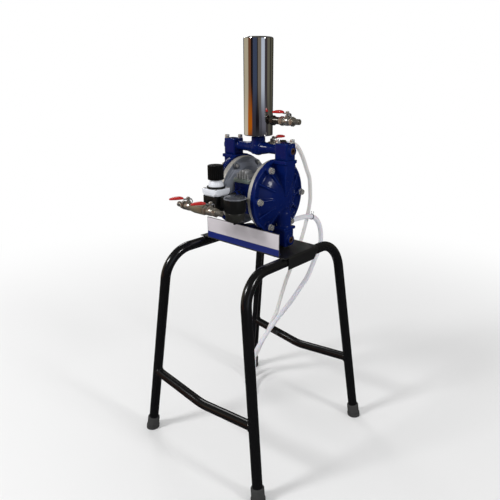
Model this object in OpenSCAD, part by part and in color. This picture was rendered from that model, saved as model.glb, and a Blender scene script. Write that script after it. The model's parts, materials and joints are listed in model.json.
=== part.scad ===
// Air-operated double diaphragm pump set on a tubular stand.
// The pump hangs between two manifolds, carries a pulsation tank on top, and has its
// air filter and regulator in front. X runs along the pump's shaft, Y to the back.

/* [Stand] */
// Outside diameter of the stand's tube
tube_od = 25.4; // [22:0.2:28]
// Wall of the stand's tubes
tube_wall = 1.6; // [1:0.1:2.5]
// Height of the top bars' centre lines above the floor
bar_h = 544.6; // [480:0.2:620]
// Distance of each top bar from the middle
bar_x = 132; // [126:1:145]
// Distance of the legs from the middle at the floor, across
foot_x = 205; // [180:1:230]
// Distance of the legs from the middle at the floor, front to back
foot_y = 217.4; // [205:0.2:240]
// Distance of the leg lines from the middle at the height of the bars
shoulder_y = 181; // [165:1:195]
// Radius of the bends at the top of the legs
bend_r = 76; // [55:1:85]
// Outside diameter of the stretchers' tube
rail_od = 24; // [18:0.5:24.5]
// Height of the stretchers' ends
rail_z = 192; // [150:1:240]
// How far each stretcher droops to its middle
rail_droop = 22; // [12:1:34]
// Radius of the bend at the middle of a stretcher
rail_bend_r = 150; // [80:5:220]
// Outside diameter of a rubber foot
shoe_od = 33; // [31:0.5:38]
// Length of a rubber foot along its leg
shoe_h = 38; // [25:1:50]
// Rubber between the tube's end and the floor
shoe_floor = 8; // [5:0.5:12]

/* [Platform] */
// Thickness of the platform's sheet
sheet_t = 2.5; // [1.5:0.1:4]
// Front edge of the platform
sheet_front_y = -56; // [-70:1:-50]
// Back edge of the platform
sheet_back_y = 77; // [60:1:100]
// Depth of the platform with its side flanges
flange_drop = 31; // [24:1:45]
// Radius of the bend outside
sheet_bend_r = 5; // [4:0.5:7]
// Width of the sign plate
sign_w = 244; // [180:1:270]
// Middle of the sign plate, across
sign_x = 6; // [-10:1:10]
// Height of the sign plate
sign_h = 56; // [40:1:62]
// Thickness of the sign plate
sign_t = 1.5; // [1:0.1:2.5]
// Depth of the sign plate's foot
sign_foot = 17; // [13:1:22]

/* [Pump] */
// Distance of the pump's axis behind the middle
pump_y = 14; // [8:1:20]
// Height of the pump's axis above the under side of its lower blocks
axis_rise = 120; // [119:1:124]
// Height of the joint with the upper manifold above the axis
upper_joint = 91; // [90:0.5:94]
// Depth of the joint with the lower manifold below the axis
lower_joint = 79; // [76:0.5:80]
// Distance of the fluid columns from the middle
column_x = 84; // [83:0.5:86]
// Half width of the centre body
centre_half = 28; // [27:0.5:30]
// Where the diaphragms are clamped
clamp_x = 55; // [54:0.5:57]
// Radius of the fluid covers
cover_r = 92.6; // [92:0.2:96]
// Thickness of the fluid covers' flange
cover_t = 8; // [6:0.5:9]
// Height of the rim round a fluid cover
rim_h = 5; // [3:0.5:7]
// Radius of the dome on a fluid cover
dome_r = 72; // [68:1:74]
// Height of the dome on a fluid cover
dome_h = 27; // [24:1:30]
// Thickness of the ribs on a fluid cover
rib_t = 4; // [2.5:0.5:6]
// Angle between the ribs on a fluid cover
rib_step = 30; // [30, 60]
// Radius of the air chambers
chamber_r = 88; // [87:0.5:91]
// Width across the flats of an air chamber's back
chamber_af = 148; // [140:1:160]
// Radius of the air space behind a diaphragm
air_space_r = 60; // [56:1:62]
// Radius of the bolt circle
bolt_circle_r = 79.5; // [78.5:0.5:80.5]
// Number of bolts in a cover
cover_bolts_n = 6; // [6, 12]
// Diameter of the cover bolts
cover_bolt_d = 8; // [6:0.5:8]
// Radius of the bolts' bosses
boss_r = 10; // [8.5:0.5:11]

/* [Diaphragms and shaft] */
// Diameter of the shaft
shaft_d = 20; // [16:0.5:24]
// Diameter of the shaft's threaded ends
stud_d = 12; // [8:0.5:14]
// Radius of a diaphragm
diaphragm_r = 72; // [68:0.5:72]
// Thickness of a diaphragm
diaphragm_t = 2.8; // [2:0.1:3.2]
// Radius of the ring wave in a diaphragm
wave_r = 46; // [44:0.5:50]
// Radius of the inner clamping disc
inner_disc_r = 30; // [24:1:34]
// Radius of the outer clamping disc
outer_disc_r = 32; // [24:1:35]
// Travel of the shaft each way
shaft_stroke = 8; // [4:0.5:8]

/* [Manifolds] */
// Width of a manifold block along the pump's axis
block_w = 38; // [36:0.5:40]
// Depth of a manifold block
block_d = 34; // [33.5:0.5:38]
// Height of the upper manifold's blocks
upper_block_h = 39; // [36:0.5:44]
// Height of the upper manifold's axis above its joint
upper_bar_rise = 22; // [21:0.5:24]
// Depth of the lower manifold's axis below its joint
lower_bar_drop = 24; // [23:0.5:25]
// Radius of the manifolds' bars
bar_r = 11.5; // [10.5:0.5:12]
// Radius of the passages in the manifolds
passage_r = 8; // [6:0.5:8.5]
// Radius of the hub in the middle of a manifold
hub_r = 19; // [17.5:0.5:20]
// Radius of the check balls
ball_r = 9.5; // [9:0.1:10]
// Lift of the check balls
ball_lift = 5; // [2:0.5:5]
// Outside radius of a valve seat
seat_r = 12; // [11:0.5:12]
// Inside radius of a valve seat
seat_bore_r = 7; // [5:0.5:7.5]
// Height of a valve seat
seat_h = 6; // [4:0.5:7]
// Diameter of the manifold bolts
joint_bolt_d = 6; // [5:0.5:6]
// Offset of the manifold bolts along the pump's axis
joint_bolt_x = 12.5; // [12:0.5:13]
// Offset of the manifold bolts from front to back
joint_bolt_y = 11; // [11:0.5:11]

/* [Air valve] */
// Width of the air valve's body
airvalve_w = 50; // [46:1:54]
// Depth of the air valve's body
airvalve_d = 34; // [28:1:40]
// Bottom of the air valve's body below the axis
airvalve_drop = 40; // [36:1:44]
// Top of the air valve's body above the axis
airvalve_rise = 34; // [30:1:40]
// Diameter of the spool
spool_d = 17.9; // [14:0.1:20]
// Travel of the spool
spool_stroke = 5; // [2:0.5:5]
// Thickness of the air valve cap's plate
cap_t = 8; // [6:0.5:10]
// Height of the fins on the air valve's cap
fin_h = 22; // [10:1:26]
// Thickness of the fins
fin_t = 2.4; // [1.6:0.2:3]
// Drop of each fin below the one nearer the middle
fin_drop = 2.5; // [0:0.5:3]
// Height of the air inlet above the pump's axis
inlet_rise = 8; // [4:0.5:12]

/* [Tank] */
// Radius of the tank
tank_r = 35; // [32:0.5:38]
// Height of the tank
tank_h = 211; // [150:1:240]
// Wall of the tank
tank_wall = 1.5; // [1:0.1:2]
// Radius of the tank's rounded ends
tank_edge_r = 5.5; // [4:0.5:8]
// Height of the outlet above the tank's bottom
outlet_rise = 33; // [30:1:60]

/* [Fittings] */
// Radius of the pipe threads
pipe_r = 6.5; // [6:0.1:7]
// Radius of the tank neck's thread
neck_r = 8; // [7:0.1:9]
// Width across the flats of a ball valve's ends
valve_af = 19; // [18:0.5:21]
// Radius of a ball valve's barrel
valve_barrel_r = 9.5; // [9.2:0.1:10.5]
// Length of a ball valve's body without its thread
valve_l = 40; // [38:1:44]
// Radius of the ball in a ball valve
valve_ball_r = 7.5; // [6.5:0.1:7.8]
// Radius of the bore through a ball valve
valve_bore_r = 4.5; // [3:0.1:5]
// Radius of a ball valve's stem
stem_r = 3; // [2.5:0.1:3.5]
// Length of a ball valve's lever from its stem
lever_l = 46; // [38:1:48]
// Width of a ball valve's lever
lever_w = 9; // [8:0.5:10]
// Thickness of a ball valve's lever
lever_t = 2; // [1.5:0.1:2.5]
// Width of a lever's sleeve
sleeve_w = 11; // [10.5:0.5:13]
// Thickness of a lever's sleeve
sleeve_t = 6; // [5:0.5:7]

/* [Air filter and regulator] */
// Width of the regulator's body
reg_w = 46; // [44:0.5:46.5]
// Height of the regulator's body
reg_h = 36; // [34:1:44]
// Distance of the regulator's axis left of the middle
reg_x = 26; // [26:0.5:28]
// Height of the regulator's square bonnet
bonnet_h = 16.5; // [12:0.5:20]
// Radius of the bonnet's round neck
neck_round_r = 21.5; // [19:0.5:22]
// Radius of the regulator's knob
knob_r = 19; // [17:0.5:21]
// Height of the regulator's knob
knob_h = 33.5; // [28:0.5:40]
// Number of grooves round the knob
knob_grooves = 24; // [18:1:30]
// Lift of the knob when it is unlocked
knob_lift = 3; // [1:0.5:4]
// Radius of the filter's body
filter_r = 28; // [26:0.5:29]
// Distance of the filter's axis right of the middle
filter_x = 36; // [35:0.5:38]
// Height of the filter's body
filter_h = 27; // [24:1:32]
// Height of the filter's bowl below its body
bowl_h = 26; // [20:1:34]
// Wall of the filter's bowl
bowl_wall = 2; // [1.5:0.1:2.5]

/* [Hoses] */
// Outside diameter of the suction hose
suction_hose_d = 14; // [12:0.5:14]
// Outside diameter of the return hose
return_hose_d = 10; // [9:0.5:11]

/* [Fits] */
// Radial running clearance of shafts, stems and threads in their bores
fit = 0.05; // [0.02:0.01:0.08]
// Gap at seats that a gasket or a weld fills
seat_gap = 0.3; // [0.2:0.05:0.4]

/* [Hidden] */
$fn = 48;

// Colours
black_paint = [0.06, 0.06, 0.07];
blue_paint = [0.10, 0.18, 0.55];
grey_cast = [0.62, 0.64, 0.66];
silver = [0.78, 0.79, 0.80];
white_plastic = [0.92, 0.92, 0.90];
black_plastic = [0.10, 0.10, 0.11];
red_plastic = [0.80, 0.12, 0.10];
milk_hose = [0.90, 0.92, 0.92];

// Stand
tube_r = tube_od / 2;
lean = atan((foot_x - bar_x) / bar_h);
plane_h = bar_h / cos(lean);
splay = atan((foot_y - shoulder_y) / plane_h);
turn = 90 - splay;
bend_reach = bend_r * tan(turn / 2);
leg_l = plane_h / cos(splay) - bend_reach;
bar_half = shoulder_y - bend_reach;
rail_r = rail_od / 2;
rail_share = rail_z / bar_h;
rail_x = foot_x - (foot_x - bar_x) * rail_share;
rail_y = foot_y - (foot_y - shoulder_y) * rail_share;
droop_angle = atan(rail_droop / rail_x);
weld_gap = 0.05;
seam_h = 0.5;
seam_t = 0.1;
shoe_fit = 0.1;
shoe_edge_r = 4;
shoe_sole_h = 9;
shoe_sole_r = shoe_od / 2 + 1.5;

// Platform
sheet_z = bar_h + tube_r + 0.2;
plate_top = sheet_z + sheet_t;
plate_w = 2 * (bar_x + tube_r + seat_gap + sheet_t);
flange_front_y = sheet_front_y + 13;
flange_back_y = sheet_back_y - 3;
flange_bevel = 17;
sign_y = sheet_front_y - 1;
sign_screw_y = sign_y + sign_foot - 7;
sign_screw_x = sign_w / 2 - 22;

// Mounts under the pump
pad_r = 13;
pad_h = 3;
mount_washer_r = 11;
mount_washer_h = 2;
mount_bolt_r = 4;
mount_bolt_depth = 7;
hex_m8 = 13;
head_m8 = 5.3;

// Pump
pump_z = plate_top + pad_h + mount_washer_h + axis_rise;
cover_face = clamp_x + cover_t;
boss_top = cover_face + 11;
dome_sphere_r = (dome_r * dome_r + dome_h * dome_h) / (2 * dome_h);
dome_centre = cover_face + dome_h - dome_sphere_r;
fluid_space_r = air_space_r + 2;
fluid_space_h = dome_h - 3;
space_sphere_r = (fluid_space_r * fluid_space_r + fluid_space_h * fluid_space_h)
    / (2 * fluid_space_h);
space_centre = clamp_x + fluid_space_h - space_sphere_r;
chamber_flange_x = clamp_x - 13;
chamber_neck_r = 66;
air_space_x = centre_half + 8;
pocket_t = diaphragm_t + 0.2;
pocket_r = diaphragm_r + 0.5;
spot_face_r = 9.5;
nut_seat_x = chamber_flange_x + 0.4;
shaft_r = shaft_d / 2;
shoulder_x = clamp_x - pocket_t - 6;
inner_disc_t = clamp_x - pocket_t - shoulder_x;
outer_disc_t = 5;
disc_nut_h = 8;
disc_nut_af = stud_d * 1.5;
wave_t = diaphragm_t;
wave_out_r = 5.5;
upper_axis = upper_joint + upper_bar_rise;
lower_axis = -lower_joint - lower_bar_drop;
upper_top = upper_joint + upper_block_h;
block_x0 = column_x - block_w / 2;
block_x1 = column_x + block_w / 2;
block_edge_r = 4;
joint_flange_h = 8;
joint_flange_d = block_d + 10;
ball_space_r = ball_r + 2;
ball_rest = sqrt(ball_r * ball_r - seat_bore_r * seat_bore_r) + 0.1;
ball_room = ball_rest + ball_r + ball_lift + 0.5;
lower_column_r = 18;
lower_column_top = -42;
joint_bolt_r = joint_bolt_d / 2;
joint_thread_l = 14;
head_well_r = 5.2;
head_well_h = 8;
plug_boss_r = 12;
plug_boss_l = 6;
plug_r = passage_r;
plug_l = 12.5;
hub_post_r = hub_r - 2;
hub_post_top = upper_axis + 26;
return_boss_r = 13;
return_boss_l = 24;
suction_boss_r = 14;
suction_boss_l = 28;
centre_front = 28;
centre_back = 30;
centre_z = 45;
centre_bevel = 16;
suction_duct_drop = 40;
discharge_duct_rise = 28;
hub_flare = 16;
hub_post_drop = 15;
exhaust_x = 14;
exhaust_r = 7.5;
exhaust_boss_r = 12;
exhaust_boss_l = 8;
airvalve_back = -centre_front;
airvalve_front = airvalve_back - airvalve_d;
spool_y = airvalve_back - airvalve_d / 2;
spool_r = spool_d / 2;
spool_bore_bottom = 10 - airvalve_drop;
spool_l = airvalve_rise - spool_bore_bottom - spool_stroke - 2 * seat_gap;
inlet_boss_r = 10.5;
inlet_boss_l = 8;
cap_over = 2;
cap_screw_x = airvalve_w / 2 - 2;
cap_screw_y = airvalve_d / 2 - 4;
fin_n = 5;
fin_gap = 9;

// Tank
neck_hex_h = 8;
neck_hex_af = 24;
hub_top_z = pump_z + hub_post_top;
tank_z = hub_top_z + neck_hex_h;
outlet_z = tank_z + outlet_rise;
outlet_boss_r = 11;
outlet_boss_x = tank_r + 6;

// Ball valves
spigot_l = 8;
valve_hex_l = 10;
valve_stub_l = 16;
valve_stem_u = valve_l / 2;
valve_boss_r = 6;
valve_boss_h = 13;
lever_z = 16;
lever_rise = 3;
lever_bend_u = 11;
sleeve_u = 18;
sleeve_end = lever_l + 3.5;
stem_nut_af = 8;
stem_top = lever_z + lever_t + 4.5;
stem_flat_z = lever_z - 1.2;
tee_lever_angle = 55;

// Air filter and regulator
inlet_z = pump_z + inlet_rise;
inlet_face_y = pump_y + airvalve_front - inlet_boss_l;
inlet_nipple_l = 16;
ear_back_y = inlet_face_y - inlet_nipple_l;
ear_front_y = ear_back_y - 11;
reg_y = ear_front_y - 2 - reg_w / 2;
reg_front_y = reg_y - reg_w / 2;
reg_top = inlet_z + 3;
reg_bottom = reg_top - reg_h;
reg_line_z = reg_top - 24;
bonnet_w = reg_w + 3;
bonnet_top = reg_top + bonnet_h;
panel_nut_h = 5.5;
panel_nut_r = neck_round_r + 3;
dome_base_z = bonnet_top + panel_nut_h;
dome_top_z = dome_base_z + 15;
dome_top_r = 14;
screw_r = 5;
screw_head_af = 12;
screw_head_z = dome_top_z + seat_gap;
screw_head_h = 16;
knob_z = dome_top_z + 2 * seat_gap;
knob_socket_h = screw_head_h + knob_lift + 2;
bonnet_screw_o = bonnet_w / 2 - 4.9;
tee_l = 36;
tee_af = 22;
tee_branch = 13;
tee_nipple_l = 19;
tee_y = reg_front_y - tee_nipple_l - tee_branch;
filter_bottom = reg_top - filter_h;
lid_h = 5;
arm_x0 = seat_gap - reg_x + reg_w / 2;
ear_x0 = -9;
ear_x1 = 10;
bowl_top_r = 25;
bowl_low_r = 20;
bowl_neck_r = 22.5;
bowl_neck_h = 8;
bowl_bottom = filter_bottom - bowl_h;
drain_r = 5;
drain_cap_r = 9;
drain_h = 15;

// Hoses
hose_sides = 12;
hose_rings = 59;
barb_l = 14;
suction_port_y = pump_y + suction_boss_l;
return_port_y = pump_y + return_boss_l;
return_valve_y = return_port_y + 13.7;
return_barb_y = return_valve_y + valve_l + 8;
hose_start_gap = 0.3;
clip_y = 250;
clip_z = 574;
clip_tilt = 19.6;
clip_wire_r = 0.9;
clip_gap = 0.4;
suction_hose_r = suction_hose_d / 2;
clip_r = suction_hose_r + clip_wire_r + clip_gap;
return_route = [[0, 116.3, 798], [0, 150, 795], [0, 173, 784], [-1, 192, 764],
    [-2, 208, 741], [-4, 224, 716], [-6, 241, 689], [-9, 251, 656], [-12, 257, 621],
    [-15, 255, 590], [-17, 249, 560], [-19, 241, 532], [-20, 231, 506], [-22, 217, 474],
    [-25, 203, 444], [-30, 191, 413], [-38, 184, 382], [-47, 180, 345], [-58, 178, 305],
    [-69, 178, 267], [-91, 178, 218], [-114, 178, 169], [-133, 178, 128],
    [-150, 178, 90], [-161, 178, 70], [-166, 177, 50], [-164, 171, 30], [-157, 155, 12],
    [-149, 132, 5], [-143, 115, 5]];
suction_route = [[0, 52.3, 582], [0, 80, 582], [0, 115, 583], [0, 150, 583],
    [0, 185, 582], [0, 220, 580], [0, 250, 574], [0, 276, 560], [0, 294, 536],
    [0, 303, 508], [0, 303, 482], [0, 292, 455], [0, 272, 428], [-1, 243, 386],
    [-12, 226, 355], [-28, 206, 315], [-46, 190, 279], [-66, 175, 243], [-87, 166, 205],
    [-107, 162, 168], [-125, 161, 136], [-139, 160, 107], [-148, 160, 80],
    [-147, 158, 59], [-143, 153, 42], [-136, 145, 27], [-126, 134, 16],
    [-115, 121, 9.5], [-103, 107, 7], [-86, 89, 7]];

// Basic shapes
module rod_x(x0, x1, r) translate([x0, 0, 0]) rotate([0, 90, 0]) cylinder(r = r, h = x1 - x0);
module rod_y(y0, y1, r) translate([0, y0, 0]) rotate([-90, 0, 0]) cylinder(r = r, h = y1 - y0);
module rod_z(z0, z1, r) translate([0, 0, z0]) cylinder(r = r, h = z1 - z0);
module cone_x(x0, x1, r0, r1) translate([x0, 0, 0]) rotate([0, 90, 0])
    cylinder(r1 = r0, r2 = r1, h = x1 - x0);
module hex_z(z0, z1, af) translate([0, 0, z0]) cylinder(d = af / cos(30), h = z1 - z0, $fn = 6);
module hex_x(x0, x1, af) translate([x0, 0, 0]) rotate([0, 90, 0]) hex_z(0, x1 - x0, af);
module hex_y(y0, y1, af) translate([0, y0, 0]) rotate([-90, 0, 0]) hex_z(0, y1 - y0, af);
module block(x0, x1, y0, y1, z0, z1) translate([x0, y0, z0]) cube([x1 - x0, y1 - y0, z1 - z0]);

module soft_square(w, d, r) {
    square([w - 2 * r, d], center = true);
    square([w, d - 2 * r], center = true);
    for (x = [-1, 1], y = [-1, 1])
        translate([x * (w / 2 - r), y * (d / 2 - r)]) circle(r);
}

module soft_post(w, d, z0, z1, r) translate([0, 0, z0]) linear_extrude(z1 - z0) soft_square(w, d, r);

// Places
module at_pump() translate([0, pump_y, pump_z]) children();
module both_ends() {
    children();
    rotate([0, 0, 180]) children();
}
module at_hoop(side) translate([side * foot_x, 0, 0]) rotate([0, -side * lean, 0]) children();
module at_leg(side) translate([0, side * foot_y, 0]) rotate([side * splay, 0, 0]) children();
module at_tee_left() translate([-reg_x - tee_l / 2, tee_y, reg_line_z])
    rotate([0, 0, 180]) children();
module at_tee_right() translate([-reg_x + tee_l / 2, tee_y, reg_line_z]) children();
module at_outlet() translate([outlet_boss_x + 28, pump_y, outlet_z]) children();
module at_return() translate([0, return_valve_y, pump_z + upper_axis])
    rotate([0, 0, 90]) children();
module at_bolts(n, r) for (i = [0 : n - 1]) rotate([i * 360 / n, 0, 0])
    translate([0, r, 0]) children();

// Stand
module hoop_core(r, start) {
    translate([0, 0, plane_h]) rod_y(-bar_half, bar_half, r);
    for (m = [0, 1]) mirror([0, m, 0]) {
        at_leg(1) rod_z(start, leg_l, r);
        at_leg(1) rod_z(leg_l - seam_h, leg_l + seam_h, r + seam_t);
        translate([0, 0, plane_h]) rod_y(bar_half - seam_h, bar_half + seam_h, r + seam_t);
        translate([0, bar_half, plane_h - bend_r]) rotate([90, 0, 90])
            rotate([0, 0, splay]) rotate_extrude(angle = turn) translate([bend_r, 0]) circle(r);
    }
}

module hoop(side) color(black_paint) at_hoop(side) difference() {
    hoop_core(tube_r, shoe_floor);
    hoop_core(tube_r - tube_wall, shoe_floor - 1);
}

module hoop_left() hoop(-1);
module hoop_right() hoop(1);

module rail_core(r) {
    bottom = rail_z - rail_droop;
    start = rail_bend_r * tan(droop_angle);
    for (m = [0, 1]) mirror([m, 0, 0]) translate([0, 0, bottom])
        rotate([0, 90 - droop_angle, 0]) {
            rod_z(start, rail_x / cos(droop_angle), r);
            rod_z(start - seam_h, start + seam_h, r + seam_t);
        }
    translate([0, 0, bottom + rail_bend_r / cos(droop_angle)]) rotate([90, 0, 0])
        rotate([0, 0, 270 - droop_angle]) rotate_extrude(angle = 2 * droop_angle)
            translate([rail_bend_r, 0]) circle(r);
}

module stretchers() color(black_paint) difference() {
    for (side = [-1, 1]) translate([0, side * rail_y, 0]) difference() {
        rail_core(rail_r);
        rail_core(rail_r - tube_wall);
    }
    for (sx = [-1, 1], sy = [-1, 1]) at_hoop(sx) at_leg(sy)
        rod_z(shoe_floor, leg_l, tube_r + weld_gap);
}

module shoe() difference() {
    union() {
        rotate_extrude() {
            square([shoe_od / 2 - shoe_edge_r, shoe_h]);
            square([shoe_od / 2, shoe_h - shoe_edge_r]);
            translate([shoe_od / 2 - shoe_edge_r, shoe_h - shoe_edge_r]) circle(shoe_edge_r);
        }
        rod_z(-shoe_sole_h, shoe_sole_h, shoe_sole_r);
    }
    rod_z(shoe_floor, shoe_h + 1, tube_r + shoe_fit);
}

module rubber_feet() color(black_plastic) for (sx = [-1, 1], sy = [-1, 1]) intersection() {
    at_hoop(sx) at_leg(sy) shoe();
    block(-2 * foot_x, 2 * foot_x, -2 * foot_y, 2 * foot_y, 0, 2 * shoe_h);
}

// Platform
module channel_outline(w, top, depth, r) {
    translate([-w / 2, top - depth]) square([w, depth - r]);
    translate([-w / 2 + r, top - depth]) square([w - 2 * r, depth]);
    for (side = [-1, 1]) translate([side * (w / 2 - r), top - r]) circle(r);
}

module platform() color(black_paint) difference() {
    translate([0, sheet_back_y, 0]) rotate([90, 0, 0])
        linear_extrude(sheet_back_y - sheet_front_y) difference() {
            channel_outline(plate_w, plate_top, flange_drop, sheet_bend_r);
            channel_outline(plate_w - 2 * sheet_t, sheet_z, flange_drop, sheet_bend_r - sheet_t);
        }
    block(-plate_w, plate_w, sheet_front_y - 1, flange_front_y, 0, sheet_z);
    block(-plate_w, plate_w, flange_back_y, sheet_back_y + 1, 0, sheet_z);
    rotate([90, 0, 90]) translate([0, 0, -plate_w]) linear_extrude(2 * plate_w)
        polygon([[flange_back_y + 1, plate_top - flange_drop - 1],
            [flange_back_y + 1, plate_top - flange_drop + flange_bevel],
            [flange_back_y - flange_bevel, plate_top - flange_drop - 1]]);
    for (side = [-1, 1]) {
        translate([side * column_x, pump_y, 0])
            rod_z(sheet_z - 1, plate_top + 1, mount_bolt_r + 0.2);
        translate([sign_x + side * sign_screw_x, sign_screw_y, 0])
            rod_z(sheet_z - 1, plate_top + 1, 2.1);
    }
}

module sign_plate() color(silver) difference() {
    union() {
        translate([sign_x, sign_y, plate_top + sign_h / 2]) rotate([-90, 0, 0])
            linear_extrude(sign_t) soft_square(sign_w, sign_h, 2);
        block(sign_x - sign_w / 2 + 8, sign_x + sign_w / 2 - 8, sign_y + sign_t,
            sign_y + sign_foot, plate_top, plate_top + sign_t);
    }
    for (side = [-1, 1]) translate([sign_x + side * sign_screw_x, sign_screw_y, 0])
        rod_z(plate_top - 1, plate_top + sign_t + 1, 2.1);
}

module pump_mounts() color(silver) for (side = [-1, 1])
    translate([side * column_x, pump_y, plate_top]) {
        difference() {
            rod_z(0, pad_h, pad_r);
            rod_z(-1, pad_h + 1, mount_bolt_r + 0.2);
        }
        difference() {
            rod_z(pad_h, pad_h + mount_washer_h, mount_washer_r);
            rod_z(pad_h - 1, pad_h + mount_washer_h + 1, mount_bolt_r + 0.2);
        }
    }

// A pan head screw with its head on z = 0 and its thread below
module pan_screw(r, length, head_r, head_h) {
    difference() {
        translate([0, 0, -length]) cylinder(r = r, h = length + head_h / 2);
        rod_z(-length - 1, -length, r);
    }
    difference() {
        intersection() {
            rod_z(0, head_h, head_r);
            translate([0, 0, head_h - 2 * head_r]) sphere(2 * head_r);
        }
        translate([0, 0, head_h]) cube([1.6 * head_r, 0.7, head_h], center = true);
        translate([0, 0, head_h]) cube([0.7, 1.6 * head_r, head_h], center = true);
    }
}

module mount_bolt() {
    hex_z(-head_m8, 0, hex_m8);
    rod_z(-1, sheet_t + pad_h + mount_washer_h + mount_bolt_depth - 0.3, mount_bolt_r);
}

module machine_screws() color(silver) {
    for (side = [-1, 1]) {
        translate([side * column_x, pump_y, sheet_z]) mount_bolt();
        translate([sign_x + side * sign_screw_x, sign_screw_y, plate_top + sign_t])
            pan_screw(2, 8, 3.6, 2.4);
    }
    for (x = [-1, 1], y = [-1, 1]) {
        translate([-reg_x + x * bonnet_screw_o, reg_y + y * bonnet_screw_o, bonnet_top])
            pan_screw(1.8, 11, 2.9, 2.2);
        at_pump() translate([x * cap_screw_x, spool_y + y * cap_screw_y, airvalve_rise + cap_t])
            pan_screw(2, 14, 3.5, 2.4);
    }
}

// Pump: fluid covers
module rib() rotate([90, 0, 0]) translate([0, 0, -rib_t / 2]) linear_extrude(rib_t)
    polygon([[cover_face - 1, 30], [dome_centre + dome_sphere_r - 3, 38],
        [cover_face + rim_h + 1, bolt_circle_r + 3], [cover_face - 1, bolt_circle_r + 9]]);

module ribs() for (a = [0 : rib_step : 359]) if (abs(a % 180 - 90) > 1) rotate([a, 0, 0])
    rotate([90, 0, 0]) rib();

module upper_column() intersection() {
    rotate([90, 0, 0]) translate([0, 0, -joint_flange_d]) linear_extrude(2 * joint_flange_d)
        polygon([[clamp_x + 5, 20], [clamp_x + 5, upper_joint], [block_x1, upper_joint],
            [block_x1, upper_joint - 25], [block_x1 - 10, 5], [column_x - 4, 5]]);
    rotate([90, 0, 90]) linear_extrude(2 * column_x)
        polygon([[-block_d / 2, upper_joint], [block_d / 2, upper_joint],
            [block_d / 2, upper_joint - 39], [5, 5], [-5, 5], [-block_d / 2, upper_joint - 39]]);
}

module lower_column() {
    translate([column_x, 0, 0]) rotate_extrude() {
        translate([0, -lower_joint]) square([lower_column_r, lower_joint + lower_column_top]);
        intersection() {
            translate([0, lower_column_top]) circle(lower_column_r);
            translate([0, lower_column_top - 1]) square(lower_column_r + 1);
        }
    }
    block(clamp_x + 5, column_x, -13, 13, -lower_joint, lower_column_top - 4);
}

module cover_shell() rotate([0, 90, 0]) rotate_extrude() {
    translate([0, clamp_x]) square([cover_r, cover_t]);
    translate([cover_r - 6, clamp_x]) square([6, cover_t + rim_h]);
    intersection() {
        translate([0, dome_centre]) circle(dome_sphere_r);
        translate([0, cover_face - 1]) square([dome_r, dome_h + 2]);
    }
}

module cover_space() rotate([0, 90, 0]) rotate_extrude() intersection() {
    translate([0, space_centre]) circle(space_sphere_r);
    translate([0, clamp_x - 1]) square([cover_r, dome_h]);
}

module fluid_cover() difference() {
    union() {
        cover_shell();
        ribs();
        at_bolts(cover_bolts_n, bolt_circle_r) rod_x(cover_face - 1, boss_top, boss_r);
        upper_column();
        block(clamp_x, block_x1 + 1, -joint_flange_d / 2, joint_flange_d / 2,
            upper_joint - joint_flange_h, upper_joint);
        lower_column();
        block(clamp_x, block_x1 + 1, -joint_flange_d / 2, joint_flange_d / 2,
            -lower_joint, -lower_joint + joint_flange_h);
    }
    cover_space();
    block(clamp_x - 1, column_x, -joint_flange_d / 2 - 1, joint_flange_d / 2 + 1,
        upper_joint, cover_r + 1);
    block(cover_face, column_x, -joint_flange_d / 2 - 1, joint_flange_d / 2 + 1,
        -cover_r - 1, -lower_joint);
    block(clamp_x - 1, column_x, -bar_r - 2, bar_r + 2, -cover_r - 1, lower_axis + bar_r + 1);
    at_bolts(cover_bolts_n, bolt_circle_r)
        rod_x(clamp_x - 1, boss_top + 1, cover_bolt_d / 2 + 0.2);
    translate([column_x, 0, 0]) {
        rod_z(upper_joint - seat_h - seat_gap, upper_joint + 1, seat_r + fit);
        rod_z(22, upper_joint, passage_r);
        rod_z(-lower_joint - 1, ball_room - lower_joint, ball_space_r);
        rod_z(-lower_joint, -31, passage_r);
        joint_threads(upper_joint - joint_thread_l, upper_joint + 1);
        joint_threads(-lower_joint - 1, joint_thread_l - lower_joint);
    }
    translate([0, 0, discharge_duct_rise]) rod_x(clamp_x, column_x, seat_bore_r);
    translate([0, 0, -suction_duct_drop]) rod_x(clamp_x, column_x, seat_bore_r);
}

module joint_threads(z0, z1, r = joint_bolt_r + fit) for (s = [-1, 1])
    translate([s * joint_bolt_x, s * joint_bolt_y, 0]) rod_z(z0, z1, r);

module fluid_cover_right() color(blue_paint) at_pump() fluid_cover();
module fluid_cover_left() color(blue_paint) at_pump() rotate([0, 0, 180]) fluid_cover();

// Pump: air chambers and centre body
module air_chamber() difference() {
    union() {
        rod_x(chamber_flange_x, clamp_x, chamber_r);
        intersection() {
            cone_x(centre_half, chamber_flange_x + 1, chamber_neck_r, chamber_r - 5);
            rotate([0, 90, 0]) rotate([0, 0, 22.5])
                cylinder(d = chamber_af / cos(22.5), h = clamp_x, $fn = 8);
        }
    }
    rod_x(centre_half - 1, clamp_x, shaft_r + fit);
    rod_x(air_space_x, clamp_x, air_space_r);
    rod_x(clamp_x - pocket_t, clamp_x + 1, pocket_r);
    at_bolts(cover_bolts_n, bolt_circle_r) {
        rod_x(centre_half - 1, clamp_x + 1, cover_bolt_d / 2 + 0.2);
        rod_x(centre_half - 1, nut_seat_x, spot_face_r);
    }
}

module air_chamber_right() color(grey_cast) at_pump() air_chamber();
module air_chamber_left() color(grey_cast) at_pump() rotate([0, 0, 180]) air_chamber();

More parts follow.
